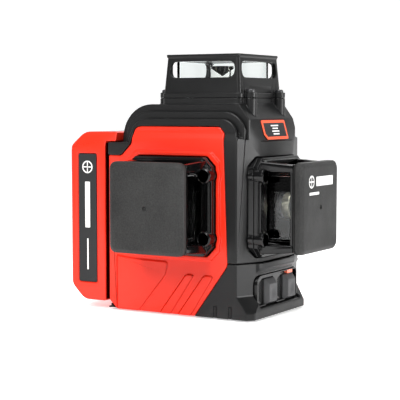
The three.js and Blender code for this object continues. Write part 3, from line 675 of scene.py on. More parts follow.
# ---------------------------------------------------------------- body
def terrace_outline(level):
    """Side view of one terrace; level 0 is the tall middle of the body, level 2 its flanks."""
    drop = TERRACE_DROP * level
    radius = ARCH_RADIUS - drop
    rear = arc(ARCH_REAR - ARCH_RADIUS, ARCH_TOP - ARCH_RADIUS, radius, 0, QUARTER)
    if level:
        front = arc(FRONT_BEND_Y, FRONT_BEND_Z, FRONT_BEND - drop, QUARTER, 2 * QUARTER)
    else:
        front = [(-FRONT + 9, ARCH_TOP), (-FRONT + 3.5, ARCH_TOP - 7.5), (-FRONT, 91.5)]
    foot = [(front[-1][0], 60), (REAR, 60)]
    return [(REAR, TAB_TOP), (ARCH_REAR - drop, TAB_TOP), *rear, *front, *foot]


def plan_outline(grow=0.0):
    return [(-HALF - grow, -LEFT_CORNER), (-FRONT_FLAT, -FRONT - grow), (FRONT_FLAT, -FRONT - grow),
            (HALF + grow, -RIGHT_CORNER), (HALF + grow, REAR), (-HALF - grow, REAR)]


def body_block():
    terraces = []
    for level in range(3):
        half = HALF - STEP_IN - TERRACE_OUT * (2 - level)
        terraces.append(prism("x", terrace_outline(level), -half, half))
    for level in (1, 2):
        half = HALF - STEP_IN - TERRACE_OUT * (3 - level)
        width = sizes().groove / MM
        outer = inset(terrace_outline(level), -0.4)
        inner = inset(terrace_outline(level), width)
        ring = cut(prism("x", outer, -half - width, half + width),
                   prism("x", inner, -half - 9, half + 9), prism("x", outer, -half + 0.01, half - 0.01))
        above = block((-HALF, -FRONT - 9, 91.9), (HALF, ARCH_REAR + 9, ARCH_TOP + 1))
        terraces[level] = cut(terraces[level], meet(ring, above))
    upper = meet(join(*terraces), prism("z", plan_outline(), 60, ARCH_TOP + 1))
    inner = HALF - STEP_IN
    front_view = [(-HALF, CHIN_LOW), (HALF, CHIN_LOW), (HALF, STEP_LOW), (inner, STEP_HIGH),
                  (-inner, STEP_HIGH), (-HALF, STEP_LOW)]
    lower = meet(prism("y", front_view, -FRONT, REAR), prism("z", plan_outline(), CHIN_LOW, STEP_HIGH))
    side_view = [*terrace_outline(2)[:-2], (-FRONT, 92), (-FRONT, 0), (REAR, 0)]
    lower = meet(lower, prism("x", side_view, -HALF - 1, HALF + 1))
    high = [(-HALF, REAR), (-HALF, -LEFT_CORNER), (-FRONT_FLAT, -FRONT), (FRONT_FLAT, -FRONT),
            (HALF, -RIGHT_CORNER), (HALF, REAR)]
    side, nose = -CHIN_FRONT + CHIN_CORNER, HALF - CHIN_CORNER
    low = [(-HALF, REAR), (-HALF, side), (-nose, -CHIN_FRONT), (nose, -CHIN_FRONT),
           (HALF, side), (HALF, REAR)]
    chin = loft("z", [(FLOOR, low), (CHIN_LOW, low), (CHIN_TOP, high)])
    return join(upper, lower, chin)


def neck():
    shape = prism("z", rounded(rectangle(-NECK_HALF, -NECK_HALF, NECK_HALF, NECK_HALF), 4),
                  ARCH_TOP - 6, NECK_TOP)
    columns = [rod("z", centre, ARCH_TOP - 8, NECK_TOP, SCREW_LOBE) for centre in neck_screws()]
    channels = [rod("z", (sx * (SCREW_X + side * 4.6), sy * (SCREW_Y - 0.6)),
                    ARCH_TOP - 3, NECK_TOP + 1, 1.3, 20)
                for sx in (-1, 1) for sy in (-1, 1) for side in (-1, 1)]
    return cut(join(shape, *columns), *channels)


def panel_outline(grow=0.0):
    points = [(-0.9, FLOOR), (47.8, FLOOR), (REAR - 0.3, 5.3), (REAR - 0.3, TAB_LOW), (44.5, TAB_LOW),
              (38.2, 90.0), (36.6, PANEL_TOP), (-15.2, PANEL_TOP), (-18.0, 96.0), (-20.4, 28.0)]
    radii = [0, 0, 0.6, 0.8, 3.0, 3.0, 5.0, 2.4, 4.0, 4.0]
    return rounded(inset(points, -grow), [r + (grow if r else 0) for r in radii])


def cage_plate(grow=0.0):
    """Outline of the seal and flange: an eight-sided plate; cage_block adds a lobe round each screw boss."""
    x, z, corner = PLATE_X + grow, PLATE_Z + grow, PLATE_CORNER
    plate = [(-x, -z + corner), (-x + corner, -z), (x - corner, -z), (x, -z + corner),
             (x, z - corner), (x - corner, z), (-x + corner, z), (-x, z - corner)]
    return rounded(plate, 1.6)


def bosses():
    return [(-BOSS_X, BOSS_Z), (BOSS_X, BOSS_Z), (BOSS_X, -BOSS_Z), (-BOSS_X, -BOSS_Z)]


def cage_block(start, end, grow=0.0):
    """The plate outline as a solid; places are distances out from the mounting plane."""
    lobes = [rod("y", centre, -end, -start, BOSS_RADIUS + grow) for centre in bosses()]
    return join(prism("y", cage_plate(grow), -end, -start), *lobes)


def cage_bore(start, end, grow=0.0):
    x, z = BORE_X + grow, BORE_Z + grow
    return prism("y", rounded(rectangle(-x, -z, x, z), max(0.6, 3 + grow)), -end, -start)


CAGES = {
    "front_cage": Matrix.Translation((FRONT_CENTRE.x, -FRONT_MOUNT, FRONT_CENTRE.z)),
    "side_cage": (Matrix.Translation((-SIDE_MOUNT, SIDE_CENTRE.y, SIDE_CENTRE.z))
                  @ Matrix.Rotation(-QUARTER, 4, "Z")),
}


def at_cage(piece, cage):
    piece.data.transform(CAGES[cage])
    return piece


def body_cavity():
    inner = PANEL_FOOT - 2
    hall = prism("z", [(-inner, -24), (-FRONT_FLAT + 3, -FRONT + 7), (FRONT_FLAT - 3, -FRONT + 7),
                       (inner, -24), (inner, REAR - WALL), (-inner, REAR - WALL)], FLOOR + WALL, CAVITY_TOP)
    crown = block((-CROWN_HALF, -CROWN_HALF, CAVITY_TOP - 1), (CROWN_HALF, CROWN_HALF, CROWN_TOP))
    attic = prism("x", [(-24, CAVITY_TOP - 2), (35, CAVITY_TOP - 2), (35, 93), (27, 101), (-22, 101)],
                  -inner + 2.5, inner - 2.5)
    bore = block((-BEAM_BORE, -BEAM_BORE, 100), (BEAM_BORE, BEAM_BORE, NECK_TOP + 1))
    return join(hall, attic, crown, bore)


def panel_pocket(side):
    out = HALF + 1
    start, end = (-out, -PANEL_FOOT + GAP) if side < 0 else (PANEL_FOOT - GAP, out)
    pocket = prism("x", panel_outline(0.2), start, end)
    low, high = min(start, end), max(start, end)
    return join(pocket, block((low, -0.6, -2), (high, REAR + 1, FLOOR + 0.6)),
                block((low, REAR - 1.5, 2), (high, REAR + 1, TAB_LOW + 0.2)))


def rear_rail():
    stem, head = 3.0, 6.5
    return prism("z", [(-stem, REAR - 1), (stem, REAR - 1), (stem, REAR + 3.8), (head, REAR + 3.8),
                       (head, REAR + 6.6), (-head, REAR + 6.6), (-head, REAR + 3.8), (-stem, REAR + 3.8)],
                 16, 78)


def key_places():
    """(left, low, right, high) of each key's hole in the front, from the CAD keys."""
    result = []
    for node in ("mode_key", "power_key"):
        low, high = node_mm(node)
        result.append((low.x, low.z, high.x, high.z))
    return result


def body_shell():
    shell = cut(join(body_block(), neck(), rear_rail()), panel_pocket(-1), panel_pocket(1), body_cavity())
    pad = at_cage(cage_block(-2.5, 0, 0.2), "side_cage")
    shell = join(shell, pad)
    rooms = [at_cage(cage_block(0, 30, 0.3), "front_cage"), at_cage(cage_bore(-9, 1), "front_cage"),
             at_cage(cage_bore(-9, 1), "side_cage")]
    return cut(shell, *rooms)


class LEVEL_OT_housing(bpy.types.Operator):
    """Builds the upper and lower black housings."""
    bl_idname = "level.housing"
    bl_label = "Housing"

    def execute(self, context):
        shell = body_shell()
        radius = sizes().shell_round / MM
        upper_room = block((-60, -60, SEAM + GAP), (60, 90, 200))
        lower_room = block((-60, -60, -5), (60, 90, SEAM - GAP))
        upper = meet(copy_of(shell), upper_room)
        screw_bores = [rod("z", centre, NECK_TOP - 8, NECK_TOP + 1, SCREW_BORE, 24)
                       for centre in neck_screws()]
        upper = cut(upper, *screw_bores)
        soften(upper, radius)
        place(upper, "upper_shell", "body", "black_plastic", black_plastic(), ["upper_housing"])

        lower = meet(shell, lower_room)
        ledge = loft("z", [(24.4, plan_outline()), (26.4, plan_outline(1.5)),
                           (SEAM - GAP, plan_outline(1.5))])
        front_only = block((-FRONT_FLAT - 3, -60, 0), (HALF, -RIGHT_CORNER, 60))
        lower = join(lower, meet(ledge, front_only))
        left, low, right, high = RECESS
        mouth = prism("y", rounded(rectangle(left, low, right, high), [1.5, 1.5, 3, 5]),
                      -CHIN_FRONT - 2, -RECESS_FLOOR + 2.4)
        keys = [prism("y", rectangle(a - KEY_GAP, b - KEY_GAP, c + KEY_GAP, d + KEY_GAP), -40, -20)
                for a, b, c, d in key_places()]
        feet = [rod("z", (middle.x, middle.y), -1, FLOOR + 1.6, 4.3) for middle in foot_middles()]
        insert = rod("z", (0, 0), -1, 10.3, 6.3)
        slot_low, slot_high = lock_slot()
        lock = block(slot_low, slot_high)
        notches = [block((-HALF - 1, y, FLOOR - 1), (-HALF + 0.7, y + 1.6, 7.0)) for y in (-14.2, -23.0)]
        lower = cut(lower, mouth, *keys, *feet, insert, lock, *notches)
        soften(lower, radius)
        place(lower, "lower_shell", "body", "black_plastic", black_plastic(), ["lower_housing"])
        return {"FINISHED"}


def foot_middles():
    return [(node_mm(f"foot_{i}")[0] + node_mm(f"foot_{i}")[1]) / 2 for i in range(1, 5)]


def lock_slot():
    low, high = node_mm("lock_slider")
    return (HALF - 12, low.y - 0.3, low.z - 0.3), (HALF + 1, high.y + 8.3, high.z + 0.3)


# ---------------------------------------------------------------- side panels
def side_panel(side):
    rise = sizes().rib_rise / MM
    face = HALF - rise
    start, end = sorted((side * PANEL_FOOT, side * face))
    slab = prism("x", panel_outline(), start, end)
    inner = HALF - STEP_IN
    stepped = prism("y", [(-HALF, 0), (HALF, 0), (HALF, STEP_LOW), (inner, STEP_HIGH), (inner, ARCH_TOP),
                          (-inner, ARCH_TOP), (-inner, STEP_HIGH), (-HALF, STEP_LOW)], -FRONT, REAR)
    slab = meet(slab, stepped)
    low, high = sorted((side * (face - 0.8), side * HALF))
    strips = [(4.6, -0.9, 20.4, 13.7), (-6.1, -12.6, 9.1, 1.4)]
    for top_rear, top_front, foot_rear, foot_front in strips:
        outline = [(foot_front, FLOOR), (foot_rear, FLOOR), (top_rear, 21.6), (top_rear - 1.5, 22.4),
                   (top_front, 22.4)]
        slab = join(slab, prism("x", rounded(outline, [0, 0, 0.8, 0.8, 1.2]), low, high))
    raised = [(33.8, FLOOR), (47.4, FLOOR), (47.4, 30), (33.4, 28.7), (15.0, 28.3), (16.8, 21.3)]
    proud = sorted((side * (face - 0.8), side * (face + rise * 0.7)))
    slab = join(slab, prism("x", rounded(raised, [0, 0, 0.6, 3, 2, 2]), *proud))
    edge = prism("y", [(-HALF - 2, -1), (HALF + 2, -1), (HALF + 2, FLOOR + 0.01), (-HALF - 2, FLOOR + 0.01)],
                 -60, 90)
    return cut(slab, edge)


class LEVEL_OT_side_panels(bpy.types.Operator):
    """Builds the two red side panels, with the rim round the side cage on the left one."""
    bl_idname = "level.side_panels"
    bl_label = "Side panels"

    def execute(self, context):
        left = side_panel(-1)
        rise = sizes().rim_rise / MM
        rim = at_cage(cage_block(0, HALF - SIDE_MOUNT + rise, 2.4), "side_cage")
        left = join(left, rim)
        left = cut(left, at_cage(cage_block(-9, 40, 0.35), "side_cage"))
        soften(left, sizes().shell_round / MM)
        place(left, "left_panel_shell", "body", "red_plastic", red_plastic(), ["left_side_panel"])
        slot_low, slot_high = lock_slot()
        right = cut(side_panel(1), block(slot_low, slot_high))
        soften(right, sizes().shell_round / MM)
        place(right, "right_panel_shell", "body", "red_plastic", red_plastic(), ["right_side_panel"])
        return {"FINISHED"}


# ---------------------------------------------------------------- front and side cages
def seal_piece():
    plate = cut(cage_block(0.3, SEAL_FACE), cage_bore(-5, 40))
    return cut(plate, *[rod("y", centre, -10, 5, SCREW_BORE, 24) for centre in bosses()])


def post(side, level):
    """A corner post that leans in from the flange to the ring under the cap."""
    def ring(reach):
        x0, x1 = sorted((side * (BORE_X + 0.3), side * (BORE_X + reach)))
        z0, z1 = sorted((level * (BORE_Z + 0.3), level * (BORE_Z + reach)))
        return rounded(rectangle(x0, z0, x1, z1), 0.7, 3)
    return loft("y", [(-(CAP_BACK - 0.2), ring(4.2)), (-5.5, ring(5.6))])


def frame_piece():
    flange = cage_block(3.7, FLANGE_FACE - 1.1)
    upper = prism("y", inset(cage_plate(), 1.3), -FLANGE_FACE, -FLANGE_FACE + 1.2)
    lobes = [turned("y", centre, [(BOSS_RADIUS, -FLANGE_FACE + 1.2), (BOSS_RADIUS, -FLANGE_FACE - 1.4),
                                  (BOSS_RADIUS - 0.6, -FLANGE_FACE - 2.0)]) for centre in bosses()]
    ring_outline = rounded(rectangle(-CAP_X + 1, -CAP_Z + 1, CAP_X - 1, CAP_Z - 1), 3)
    ring = prism("y", ring_outline, -(CAP_BACK - 0.3), -22.0)
    posts = [post(side, level) for side in (-1, 1) for level in (-1, 1)]
    body = join(flange, upper, ring, *posts, *lobes)
    sinks = [rod("y", centre, -FLANGE_FACE - 4, -FLANGE_FACE + 1, 2.9) for centre in bosses()]
    holes = [rod("y", centre, -20, 0, SCREW_BORE, 24) for centre in bosses()]
    return cut(body, cage_bore(-5, 40), *sinks, *holes)


def glass_piece():
    return cut(cage_bore(1.2, CAP_BACK - 0.4, -0.6), cage_bore(-5, 40, -2.1))


def cap_piece():
    edge = rounded(rectangle(-CAP_X, -CAP_Z, CAP_X, CAP_Z), 4.2, 5)
    face = rounded(rectangle(-CAP_X + CAP_BEVEL, -CAP_Z + CAP_BEVEL,
                             CAP_X - CAP_BEVEL, CAP_Z - CAP_BEVEL), 3.0, 5)
    lip = rounded(rectangle(-CAP_X + 0.5, -CAP_Z + 0.5, CAP_X - 0.5, CAP_Z - 0.5), 3.9, 5)
    body = loft("y", [(-CAP_BACK, lip), (-CAP_BACK - 0.9, lip), (-CAP_BACK - 1.2, edge),
                      (-CAGE_DEPTH + 1.6, edge), (-CAGE_DEPTH, face)])
    return cut(body, cage_bore(0, CAGE_DEPTH - 2.2))


def cap_dimple():
    return turned("y", (0, 0), [(1.5, -CAGE_DEPTH - 0.3), (1.25, -CAGE_DEPTH + 0.2), (1.1, -CAGE_DEPTH + 0.7),
                                (0.5, -CAGE_DEPTH + 1.1)])


def cap_marks(start, end, grow=0.0):
    """A crossed ring and two bars in the upper part of the cap, at these depths under its face."""
    faces = (-CAGE_DEPTH + end, -CAGE_DEPTH + start)
    middle = (-11.0, 13.4)
    ring = cut(rod("y", middle, *faces, 3.3 + grow), rod("y", middle, -40, 0, 2.5 - grow))
    boxes = ((-13.5, 13.0, -8.5, 13.8), (-11.4, 10.9, -10.6, 15.9),
             (-5.6, 11.0, 14.6, 15.8), (-13.6, 6.6, -2.0, 8.0))
    bars = [prism("y", rounded(rectangle(a - grow, b - grow, c + grow, d + grow), 0.35, 3), *faces)
            for a, b, c, d in boxes]
    return [ring, *bars]


def screw_piece(centre, face, reach):
    """A pan-head screw with a six-sided socket, along -y from a face."""
    head = turned("y", centre, [(2.6, -face + 2.2), (2.6, -face + 0.5), (2.1, -face)])
    shank = rod("y", centre, -face + 2, -reach, 1.3, 20)
    socket = rod("y", centre, -face - 1, -face + 1.2, 1.35, 6)
    return cut(join(head, shank), socket)


class LEVEL_OT_cages(bpy.types.Operator):
    """Builds the front and side cages: seal, frame, glass, cap and screws."""
    bl_idname = "level.cages"
    bl_label = "Front and side cages"

    def execute(self, context):
        fine = sizes().fine_round / MM
        for cage in CAGES:
            seal = soften(at_cage(seal_piece(), cage), fine * 1.6)
            place(seal, f"{cage}_seal_ring", "body", "gloss_black", gloss_black(), [f"{cage}_seal"])
            cage_frame = soften(at_cage(frame_piece(), cage), fine * 1.4)
            place(cage_frame, f"{cage}_moulding", "body", "gloss_black", gloss_black(), [f"{cage}_frame"])
            glass = soften(at_cage(glass_piece(), cage), fine, 2)
            place(glass, f"{cage}_window_glass", "body", "clear_glass", clear_glass(), [f"{cage}_glass"])
            cap = cap_piece()
            cap = soften(at_cage(cap, cage), sizes().cap_round / MM, 4, 25)
            cut(cap, at_cage(cap_dimple(), cage))
            if cage == "front_cage":
                cut(cap, *[at_cage(mark, cage) for mark in cap_marks(0.4, -1.0, 0.03)])
            place(cap, f"{cage}_end_cap", "body", "cap_plastic", cap_plastic(), [f"{cage}_cap"])
            for i, centre in enumerate(bosses(), 1):
                screw = soften(at_cage(screw_piece(centre, FLANGE_FACE + 1, -2.8), cage), fine * 0.6, 2)
                place(screw, f"{cage}_cap_screw_{i}", "body", "screw_steel", screw_steel(),
                      [f"{cage}_screw_{i}"])
        return {"FINISHED"}


# ---------------------------------------------------------------- top cage
CAGE_TOP = node_mm("top_cage")[1].z
FLANGE_TOP = 116.6
ROOF = 133.6
WINDOW = (124.8, 133.3)
TOP_HALF, SKIRT_HALF, HOLLOW_HALF, TOP_GLASS = 21.8, 23.3, 20.3, 18.3


def square(half, radius, steps=6):
    return rounded(rectangle(-half, -half, half, half), radius, steps)


class LEVEL_OT_top_cage(bpy.types.Operator):
    """Builds the top cage with its four windows, one in each side, its glass and its screws."""
    bl_idname = "level.top_cage"
    bl_label = "Top cage"

    def execute(self, context):
        low = NECK_TOP + 0.04
        fine = sizes().fine_round / MM
        flange = prism("z", square(NECK_HALF, 3.2), low, FLANGE_TOP)
        lobes = [rod("z", centre, low, FLANGE_TOP + 0.6, SCREW_LOBE) for centre in neck_screws()]
        skirt = loft("z", [(low, square(SKIRT_HALF, 2.0)), (CAGE_TOP - 1.9, square(TOP_HALF - 0.1, 1.8)),
                           (CAGE_TOP - 1.3, square(TOP_HALF + 0.35, 1.8)),
                           (CAGE_TOP, square(TOP_HALF + 0.35, 1.8))])
        body = join(flange, skirt, *lobes)
        bottom, top = WINDOW
        high = (top - bottom) / 2 - 0.1
        window = rounded(rectangle(-19.3, bottom, 19.3, top), high, 8)
        grooves = [rod("z", (sx * (SCREW_X + side * 3.6), sy * (SKIRT_HALF + 0.2)), low - 1, 122.5, 0.7, 16)
                   for sx in (-1, 1) for sy in (-1, 1) for side in (-1, 1)]
        hollow = prism("z", square(HOLLOW_HALF, 3.6), low - 1, ROOF)
        holes = [rod("z", centre, low - 1, FLANGE_TOP + 4, SCREW_BORE, 24) for centre in neck_screws()]
        seats = [rod("z", centre, FLANGE_TOP, FLANGE_TOP + 6, SCREW_SEAT, 32) for centre in neck_screws()]
        windows = [prism(axis, window, -40, 40) for axis in ("x", "y")]
        body = cut(body, hollow, *windows, *holes, *seats, *grooves)
        soften(body, fine * 1.2)
        place(body, "top_cage_moulding", "body", "black_plastic", black_plastic(), ["top_cage"])

        glass = cut(prism("z", square(TOP_GLASS, 1.6), low, ROOF - 0.3),
                    prism("z", square(TOP_GLASS - 1.5, 0.8), low - 1, ROOF + 1))
        soften(glass, fine, 2)
        place(glass, "top_window_glass", "body", "clear_glass", clear_glass(), ["top_glass"])
        for i in range(1, 5):
            node_low, node_high = node_mm(f"top_cage_screw_{i}")
            centre = ((node_low.x + node_high.x) / 2, (node_low.y + node_high.y) / 2)
            head = turned("z", centre, [(2.3, node_high.z - 1.9), (2.3, node_high.z - 0.6),
                                        (1.7, node_high.z)])
            shank = rod("z", centre, node_low.z, node_high.z - 1.6, 1.3, 20)
            socket = rod("z", centre, node_high.z - 1.2, node_high.z + 1, 1.2, 6)
            screw = soften(cut(join(head, shank), socket), fine * 0.6, 2)
            place(screw, f"top_cap_screw_{i}", "body", "screw_steel", screw_steel(), [f"top_cage_screw_{i}"])
        return {"FINISHED"}


# ---------------------------------------------------------------- battery pack
PACK_LOW, PACK_HIGH = node_mm("battery_cover")
PACK_FRONT, PACK_WALL = 54.8, 1.6
LIP_LOW, SLOPE_LOW, PACK_LEAN = 91.2, 88.1, 2.4
LABEL = (60.4, 14.2, 72.4, 84.4)
LABEL_GAP, LABEL_DEPTH, PACK_BEND = 0.15, 0.8, 8.8
LATCH_GAP, LATCH_ROOM = 0.3, 3.4
GRIP_LINES = (57.5, 59.5, 61.5, 63.5)
SYMBOL_HEIGHT, SYMBOL_RADIUS, SYMBOL_LINE = 77, 3.4, 0.3
LATCH_LOW, LATCH_HIGH = node_mm("latch_plate")


def pack_side_view(grow=0.0):
    rear, low, high = PACK_HIGH.y, PACK_LOW.z, PACK_HIGH.z
    points = [(PACK_FRONT, low), (rear - PACK_BEND, low), (rear, low + PACK_BEND), (rear, high - 8.2),
              (rear - 8.2, high), (PACK_LOW.y, high), (PACK_LOW.y, LIP_LOW), (PACK_FRONT, LIP_LOW)]
    return rounded(inset(points, grow), [1.2, 8.0, 8.0, 8.0, 8.0, 1.0, 0.8, 0.4])


def label_outline(grow=0.0):
    left, low, right, high = LABEL
    return rounded(rectangle(left - grow, low - grow, right + grow, high + grow), 1.2 + grow)


class LEVEL_OT_battery(bpy.types.Operator):
    """Builds the battery pack: red cover, blank labels and latch plate."""
    bl_idname = "level.battery"
    bl_label = "Battery pack"

    def execute(self, context):
        body = prism("x", pack_side_view(), -HALF, HALF)
        high = PACK_HIGH.z
        lean = prism("y", [(-HALF, 0), (HALF, 0), (HALF, SLOPE_LOW), (HALF - PACK_LEAN, high + 0.1),
                           (-HALF + PACK_LEAN, high + 0.1), (-HALF, SLOPE_LOW)], 0, 120)
        rear_round = prism("z", rounded(rectangle(-HALF, 20, HALF, PACK_HIGH.y), [0, 0, 2.2, 2.2]), -5, 120)
        body = meet(body, lean, rear_round)
        inner, floor, roof = PACK_HIGH.y - PACK_WALL, PACK_LOW.z + PACK_WALL, LIP_LOW - PACK_WALL
        hollow = prism("x", [(PACK_FRONT - 1, floor), (inner - PACK_BEND, floor), (inner, floor + PACK_BEND),
                             (inner, roof - 5), (inner - 2, roof), (PACK_FRONT - 1, roof)],
                       -HALF + PACK_WALL, HALF - PACK_WALL)
        labels = [prism("x", label_outline(LABEL_GAP),
                        *sorted((side * (HALF - LABEL_DEPTH), side * (HALF + 1))))
                  for side in (-1, 1)]
        latch_room = prism("z", rounded(rectangle(LATCH_LOW.x - LATCH_GAP, LATCH_LOW.y - LATCH_GAP,
                                                  LATCH_HIGH.x + LATCH_GAP, LATCH_HIGH.y + LATCH_GAP), 1.8),
                           high - LATCH_ROOM, high + 1)
        rail = block((-9, 40, PACK_LOW.z - 1), (9, 63.8, PACK_LOW.z + PACK_WALL + 0.2))
        body = cut(body, hollow, *labels, latch_room, rail)
        soften(body, sizes().shell_round / MM, 3, 38)
        place(body, "battery_cover_shell", "battery", "red_plastic", red_plastic(), ["battery_cover"])

        for side, node in ((-1, "battery_label_left"), (1, "battery_label_right")):
            film = prism("x", label_outline(-LABEL_GAP),
                         *sorted((side * (HALF - 0.65), side * (HALF - 0.12))))
            soften(film, 0.1, 2)
            place(film, f"{node}_film", "battery", "label_black", label_film(), [node])
            self.marks(side)
        plate = prism("z", rounded(rectangle(LATCH_LOW.x, LATCH_LOW.y, LATCH_HIGH.x, LATCH_HIGH.y), 1.6),
                      LATCH_LOW.z, LATCH_HIGH.z)
        ridges = [block((LATCH_LOW.x + 5, y, LATCH_HIGH.z - 0.5),
                        (LATCH_HIGH.x - 5, y + 0.8, LATCH_HIGH.z + 1)) for y in GRIP_LINES]
        soften(cut(plate, *ridges), 0.3)
        place(plate, "latch_press_plate", "latch", "black_plastic", black_plastic(), ["latch_plate"])
        return {"FINISHED"}

    def marks(self, side):
        """A plain level symbol and bars, standing where a maker would print."""
        y = (LABEL[0] + LABEL[2]) / 2
        outer = side * (HALF - 0.04)
        faces = sorted((side * (HALF - 0.13), outer))
        z = SYMBOL_HEIGHT
        ring = cut(rod("x", (y, z), *faces, SYMBOL_RADIUS), rod("x", (y, z), -40, 40, 2.7))
        marks = [ring, block_x(faces, y - 3.0, z - SYMBOL_LINE, y + 3.0, z + SYMBOL_LINE),
                 block_x(faces, y - SYMBOL_LINE, z - 3.0, y + SYMBOL_LINE, z + 3.0)]
        marks += [block_x(faces, y - 1.6, 44, y + 1.6, 69), block_x(faces, y - 0.45, 21, y + 0.45, 38)]
        for i, mark in enumerate(marks):
            place(mark, f"battery_mark_{'left' if side < 0 else 'right'}_{i + 1}", "battery", "label_black",
                  print_white())


def block_x(faces, y0, z0, y1, z1, radius=0.3):
    corner = min(radius, (y1 - y0) / 2.1, (z1 - z0) / 2.1)
    return prism("x", rounded(rectangle(y0, z0, y1, z1), corner, 3), *faces)


# ---------------------------------------------------------------- keys, light and sticker
TUB_GAP, TUB_WALL, KEY_LEAD = 0.3, 0.8, 2.6
RIDGE_PITCH, RIDGES = 1.3, 4


class LEVEL_OT_controls(bpy.types.Operator):
    """Builds the key recess, the two keys, the status light and the lock slider."""
    bl_idname = "level.controls"
    bl_label = "Keys and lights"

    def execute(self, context):
        left, low, right, high = RECESS
        rim = rounded(rectangle(left + TUB_GAP, low + TUB_GAP, right - TUB_GAP, high - TUB_GAP),
                      [1.3, 1.3, 2.8, 4.8])
        tub = prism("y", rim, -FRONT + 0.2, -RECESS_FLOOR + 2)
        wall = TUB_GAP + TUB_WALL
        mouth = rounded(rectangle(left + wall, low + 1.0, right - wall, high - 1.0), [0.9, 0.9, 2.2, 4.2])
        room = prism("y", mouth, -60, -RECESS_FLOOR)
        holes = [prism("y", rectangle(a - KEY_GAP, b - KEY_GAP, c + KEY_GAP, d + KEY_GAP), -60, -20)
                 for a, b, c, d in key_places()]
        tub = soften(cut(tub, room, *holes), 0.2)
        place(tub, "key_recess_moulding", "body", "gloss_black", gloss_black(), ["key_bezel"])
        for name, (a, b, c, d) in zip(("mode_key", "power_key"), key_places()):
            back, front = node_mm(name)[1].y, node_mm(name)[0].y
            stem = rounded(rectangle(a, b, c, d), 0.6, 3)
            crown = rounded(rectangle(a + 1.7, b + 1.5, c - 1.3, d - 2.6), 0.6, 3)
            key = loft("y", [(back, stem), (front + KEY_LEAD, stem), (front, crown)])
            hollow = turned("y", ((a + c) / 2, (b + d) / 2 - 0.5),
                            [(3.0, front - 0.6), (3.0, front - 0.2), (1.5, front + 0.45)])
            soften(cut(key, hollow), 0.3)
            place(key, f"{name}_cap", name, "key_plastic", key_plastic(), [name])
        low_corner, high_corner = node_mm("status_light")
        pipe = rectangle(low_corner.x, low_corner.z - 0.4, high_corner.x, high_corner.z)
        light = prism("y", rounded(pipe, 0.7, 4), low_corner.y, high_corner.y)
        soften(light, 0.2, 2)
        place(light, "status_light_pipe", "body", "lamp_red", lamp(), ["status_light"])
        slot_low, slot_high = node_mm("lock_slider")
        knob = block(slot_low, (HALF - 1, slot_high.y, slot_high.z))
        thumb = rectangle(slot_low.y + 2, slot_low.z + 0.3, slot_high.y - 2, slot_high.z - 0.3)
        grip = prism("x", rounded(thumb, 0.8, 4), HALF - 2, HALF)
        ridges = [block((HALF - 0.5, slot_low.y + 3 + RIDGE_PITCH * i, slot_low.z),
                        (HALF + 1, slot_low.y + 3.6 + RIDGE_PITCH * i, 30)) for i in range(RIDGES)]
        slider = soften(cut(join(knob, grip), *ridges), 0.2)
        place(slider, "lock_slider_knob", "lock_slider", "black_plastic", black_plastic(), ["lock_slider"])
        return {"FINISHED"}


class LEVEL_OT_sticker(bpy.types.Operator):
    """Builds the plain sticker on the sloping front: border, dark field and plain bars."""
    bl_idname = "level.sticker"
    bl_label = "Front sticker"

    def execute(self, context):
        lean = math.atan2(3.5, ARCH_TOP - 7.5 - 91.5)
        tilt = (Matrix.Translation((0, -FRONT - 0.02 + 1.1 * math.tan(lean), 92.6))
                @ Matrix.Rotation(-lean, 4, "X"))
        wide, tall = 13.2, 10.4
        plate = [(-wide + 2.6, 0), (wide, 0), (wide, tall), (-wide, tall), (-wide, 2.6)]

        def layer(outline, depth, name, material, replaces=()):
            piece = prism("y", outline, -depth, -0.02)
            piece.data.transform(tilt)
            place(piece, name, "body", "label_black", material, replaces)

        layer(rounded(plate, 1.0), 0.28, "sticker_border", sticker_border(), ["warning_sticker"])
        layer(rounded(inset(plate, 1.5), 0.6), 0.33, "sticker_field", label_film())
        for i, (half, z) in enumerate(((4.2, 7.4), (3.0, 5.9), (4.0, 4.4), (3.4, 2.9)), 1):
            layer(rectangle(-half + 0.3, z - 0.35, half + 0.3, z + 0.35), 0.37, f"sticker_bar_{i}",
                  print_white())
        for i, mark in enumerate(cap_marks(0.3, 0.1), 1):
            place(at_cage(mark, "front_cage"), f"front_cap_mark_{i}", "body", "label_black", print_white())
        return {"FINISHED"}


# ---------------------------------------------------------------- optics and internals
BARREL, BARREL_NOSE, RING, RING_BORE, PRISM = 6.5, 6.1, 6.9, 6.14, 6.3


def optic_axis(name):
    """Axis, centre, and the end places of one barrel and of its prism."""
    low, high = node_mm(f"{name}_barrel")
    tip_low, tip_high = node_mm(f"{name}_prism")
    if name == "top":
        return "z", (0, 0), low.z, high.z, tip_low.z, tip_high.z
    if name == "front":
        return "y", ((low.x + high.x) / 2, (low.z + high.z) / 2), high.y, low.y, tip_high.y, tip_low.y
    return "x", ((low.y + high.y) / 2, (low.z + high.z) / 2), high.x, low.x, tip_high.x, tip_low.x


